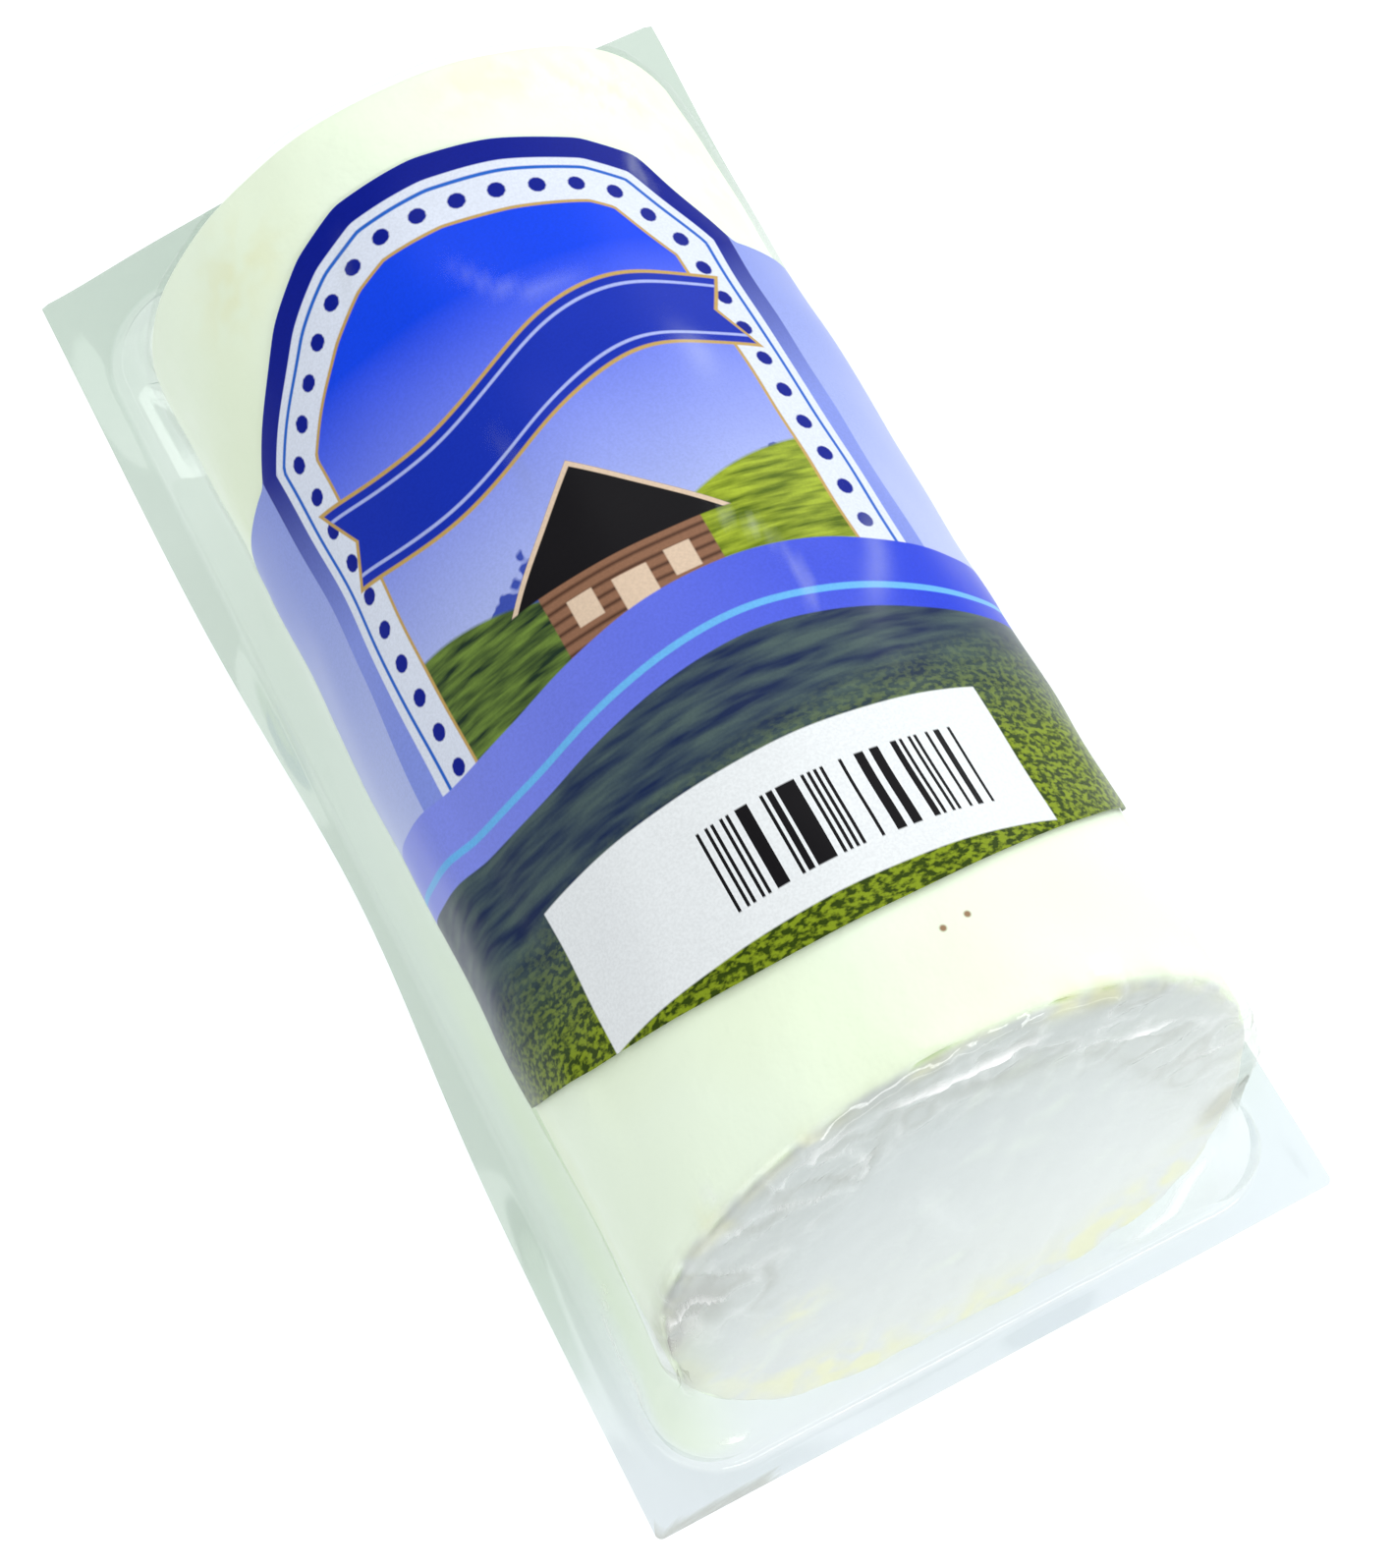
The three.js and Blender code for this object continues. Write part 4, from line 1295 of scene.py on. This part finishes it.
def border_print(graph, colour, along, inward, bead):
    """Bands inside the arch: dark blue, white with a blue line and a row of beads, and a gold line."""
    outer = graph.paint(LAVENDER_DEEP, graph.ramp(along, *BORDER_RISE), NAVY)
    for band, shade in ((BORDER_NAVY, outer), (BORDER_WHITE, PALE_BLUE), (BORDER_LINE, LINE_BLUE)):
        colour = graph.paint(colour, graph.between(inward, *band), shade)
    colour = graph.paint(colour, graph.over(BEAD_RADIUS, bead), NAVY)
    return graph.paint(colour, graph.between(inward, *BORDER_GOLD), GOLD)


def lower_print(graph, colour, across, along):
    """The lower half: a wavy blue band with a light line, a dark range, and a meadow down to the foot."""
    turn = graph.plus(graph.times(across, WAVE_TURN), WAVE_START)
    wave = graph.times(graph.math("SINE", turn), WAVE_HEIGHT)
    under = graph.math("SUBTRACT", along, wave)
    slate = graph.streaks(across, along, -0.45, 6.0, 0.55)
    range_colour = graph.paint(SLATE_DARK, graph.times(slate, 0.75), SLATE_GREEN)
    blades = graph.streaks(across, along, 0.2, 1.6, 1.3)
    meadow = graph.paint(MEADOW_DARK, graph.ramp(blades, 0.3, 0.75), MEADOW_LIGHT)
    lower = graph.plus(along, graph.times(across, MEADOW_TILT))
    ground = graph.paint(meadow, graph.ramp(lower, *MEADOW_RUN), range_colour)
    colour = graph.paint(colour, graph.over(RANGE_TOP, under), ground)
    band = graph.paint(BAND_PALE, graph.ramp(across, *WAVY_SHADE_RUN), BAND_BLUE)
    colour = graph.paint(colour, graph.between(under, *WAVY_BAND), band)
    return graph.paint(colour, graph.between(under, *WAVY_LINE), LIGHT_BLUE)


def panel_print(graph, colour, across, along):
    """A white panel that sags by a parabola, with a row of dark bars of seeded widths and no figures."""
    level = graph.plus(along, graph.times(across, across, PANEL_SAG))
    panel = graph.times(graph.between(across, *PANEL_ACROSS), graph.between(level, *PANEL_ALONG))
    colour = graph.paint(colour, panel, WHITE)
    module = graph.math("FLOOR", graph.math("DIVIDE", across, BAR_WIDTH))
    chance = graph.node("ShaderNodeTexWhiteNoise", {"W": module}, noise_dimensions="1D").outputs["Value"]
    bars = graph.times(graph.over(chance, 0.5, 0.01), graph.between(across, *BARS_ACROSS),
                       graph.between(level, *BARS_ALONG))
    return graph.paint(colour, bars, NEAR_BLACK)


def label_material(mottle):
    """A printed label of plain bands, hills, a hut and a ribbon, with a soft gloss and a faint grain."""
    material, graph = new_material("printed_label")
    across, along, inward = graph.attributes("print_place")
    bead = graph.attribute("print_bead")
    colour = graph.paint(LAVENDER_PALE, graph.ramp(along, *SIDE_SHADE_RUN), LAVENDER_DEEP)
    colour = border_print(graph, colour, along, inward, bead)
    colour = window_print(graph, colour, across, along, inward)
    colour = ribbon_print(graph, colour, across, along)
    colour = lower_print(graph, colour, across, along)
    colour = panel_print(graph, colour, across, along)
    grain = graph.group(mottle, {"Scale": 2600.0, "Shift": 19.0, "Low": 0.3, "High": 0.7})
    shade = graph.math("MULTIPLY_ADD", grain, 0.08, 0.8)
    colour = graph.node("ShaderNodeVectorMath", {0: colour, 1: shade}, operation="MULTIPLY").outputs[0]
    rough = graph.plus(graph.times(grain, 0.08), 0.3)
    shader = graph.node("ShaderNodeBsdfPrincipled", {"Base Color": colour, "Roughness": rough,
                                                     "Specular IOR Level": 0.08})
    finish_material(graph, shader.outputs[0])
    return material


def floor_material():
    """A plain pale matt floor."""
    material, graph = new_material("pale_floor")
    shader = graph.node("ShaderNodeBsdfPrincipled", {
        "Base Color": FLOOR_GREY, "Roughness": 0.7,
        "Emission Color": WHITE, "Emission Strength": FLOOR_GLOW})
    finish_material(graph, shader.outputs[0])
    return material


def shared_mottle():
    """The shared node group, made once."""
    return bpy.data.node_groups.get("Mottle") or mottle_group()


class CHEESEPACK_OT_add_cheese(bpy.types.Operator):
    """Adds the cheese log"""

    bl_idname = "cheese_pack.add_cheese"
    bl_label = "Add cheese"

    def execute(self, context):
        sizes = pack_sizes(context)
        group = context.scene.cheese_pack_looks
        looks = relief_heights(context)
        points, triangles = build_cheese(sizes, looks)
        material = cheese_material(group, shared_mottle())
        piece = make_piece("cheese_log", points, triangles, material, ("vacuum_pack",))
        cut_face, stain = cheese_looks(sizes, points)
        add_values(piece, "cut_face", cut_face)
        add_values(piece, "stain", stain)
        return {"FINISHED"}


class CHEESEPACK_OT_add_label(bpy.types.Operator):
    """Adds the printed label"""

    bl_idname = "cheese_pack.add_label"
    bl_label = "Add label"

    def execute(self, context):
        sizes = pack_sizes(context)
        looks = relief_heights(context)
        points, triangles, places, beads = build_label(sizes, looks)
        material = label_material(shared_mottle())
        piece = make_piece("label_sheet", points, triangles, material, ("label",))
        add_values(piece, "print_place", places)
        add_values(piece, "print_bead", beads)
        return {"FINISHED"}


class CHEESEPACK_OT_add_film(bpy.types.Operator):
    """Adds the clear film with its sealed margins"""

    bl_idname = "cheese_pack.add_film"
    bl_label = "Add film"

    def execute(self, context):
        sizes = pack_sizes(context)
        group = context.scene.cheese_pack_looks
        looks = relief_heights(context)
        points, triangles, shares, fold_shade, crease = build_film(sizes, looks)
        piece = make_piece("vacuum_film", points, triangles, film_material(group), ("vacuum_pack",))
        loose, fold_shade, patchy, shine, front, warm_reflection = film_looks(sizes, points, shares, fold_shade)
        # Marks: tint, painted shade of folds, painted highlight of creases; the last one a warm painted
        # reflection.
        add_values(piece, "film_marks", np.stack([loose, fold_shade, crease], axis=1))
        add_values(piece, "film_gloss", np.stack([patchy, shine, front], axis=1))
        add_values(piece, "film_warm_reflection", warm_reflection)
        return {"FINISHED"}


class CHEESEPACK_OT_add_stage(bpy.types.Operator):
    """Adds the floor, the lights and the camera"""

    bl_idname = "cheese_pack.add_stage"
    bl_label = "Add stage"

    def execute(self, context):
        add_floor(context)
        for light in LIGHTS:
            add_light(context, *light)
        add_camera(context)
        world = bpy.data.worlds.new("pale_room")
        world.use_nodes = True
        world.node_tree.nodes["Background"].inputs[0].default_value = (1.0, 1.0, 1.0, 1.0)
        world.node_tree.nodes["Background"].inputs[1].default_value = WORLD_STRENGTH
        context.scene.world = world
        context.scene.view_settings.view_transform = "Standard"
        return {"FINISHED"}


def add_floor(context):
    """A wide flat floor just under the pack."""
    mesh = bpy.data.meshes.new("floor")
    reach = FLOOR_REACH
    corners = [(-reach, -reach, 0.0), (reach, -reach, 0.0), (reach, reach, 0.0), (-reach, reach, 0.0)]
    mesh.from_pydata(corners, [], [(0, 1, 2, 3)])
    mesh.materials.append(floor_material())
    floor = bpy.data.objects.new("floor", mesh)
    context.scene.collection.objects.link(floor)


def add_light(context, name, place, aim, width, depth, power):
    """A flat oblong light at a place, turned to a point, with its width level."""
    light = bpy.data.lights.new(name, "AREA")
    light.shape = "RECTANGLE"
    light.size = width
    light.size_y = depth
    light.energy = power
    lamp = bpy.data.objects.new(name, light)
    facing = (Vector(aim) - Vector(place)).to_track_quat("-Z", "Y")
    lamp.matrix_world = Matrix.Translation(place) @ facing.to_matrix().to_4x4()
    context.scene.collection.objects.link(lamp)


def add_camera(context):
    """The photograph's camera: placed, aimed, and rolled about its line of sight."""
    lens = bpy.data.cameras.new("camera")
    lens.sensor_fit = "VERTICAL"
    lens.sensor_height = CAMERA_SENSOR
    lens.lens = CAMERA_LENS
    lens.clip_start = CAMERA_NEAR
    forward = (Vector(CAMERA_AIM) - Vector(CAMERA_PLACE)).normalized()
    level = forward.cross(Vector((0.0, 0.0, 1.0))).normalized()
    roll = Matrix.Rotation(math.radians(-CAMERA_ROLL), 3, forward)
    right = roll @ level
    turn = Matrix((right, right.cross(forward), -forward)).transposed()
    camera = bpy.data.objects.new("camera", lens)
    camera.matrix_world = Matrix.Translation(CAMERA_PLACE) @ turn.to_4x4()
    context.scene.collection.objects.link(camera)
    context.scene.camera = camera


class CHEESEPACK_PT_panel(bpy.types.Panel):
    """Sidebar panel of the cheese pack"""

    bl_idname = "CHEESEPACK_PT_panel"
    bl_label = "Cheese pack"
    bl_space_type = "VIEW_3D"
    bl_region_type = "UI"
    bl_category = "Cheese pack"

    def draw(self, context):
        for group, kind in ((context.scene.cheese_pack_sizes, PackSizes),
                            (context.scene.cheese_pack_looks, PackLooks)):
            box = self.layout.box()
            for name in kind.__annotations__:
                box.prop(group, name)
        for operator in OPERATORS:
            self.layout.operator(operator.bl_idname)


OPERATORS = (
    CHEESEPACK_OT_add_cheese,
    CHEESEPACK_OT_add_label,
    CHEESEPACK_OT_add_film,
    CHEESEPACK_OT_add_stage,
)
CLASSES = (PackSizes, PackLooks, *OPERATORS, CHEESEPACK_PT_panel)


def register():
    """Registers the add-on."""
    for kind in CLASSES:
        bpy.utils.register_class(kind)
    bpy.types.Scene.cheese_pack_sizes = PointerProperty(type=PackSizes)
    bpy.types.Scene.cheese_pack_looks = PointerProperty(type=PackLooks)


def unregister():
    """Takes the add-on out again."""
    del bpy.types.Scene.cheese_pack_looks
    del bpy.types.Scene.cheese_pack_sizes
    for kind in reversed(CLASSES):
        bpy.utils.unregister_class(kind)


def main():
    """Builds the scene."""
    register()
    bpy.ops.cheese_pack.add_cheese()
    bpy.ops.cheese_pack.add_label()
    bpy.ops.cheese_pack.add_film()
    bpy.ops.cheese_pack.add_stage()


if __name__ == "__main__":
    main()
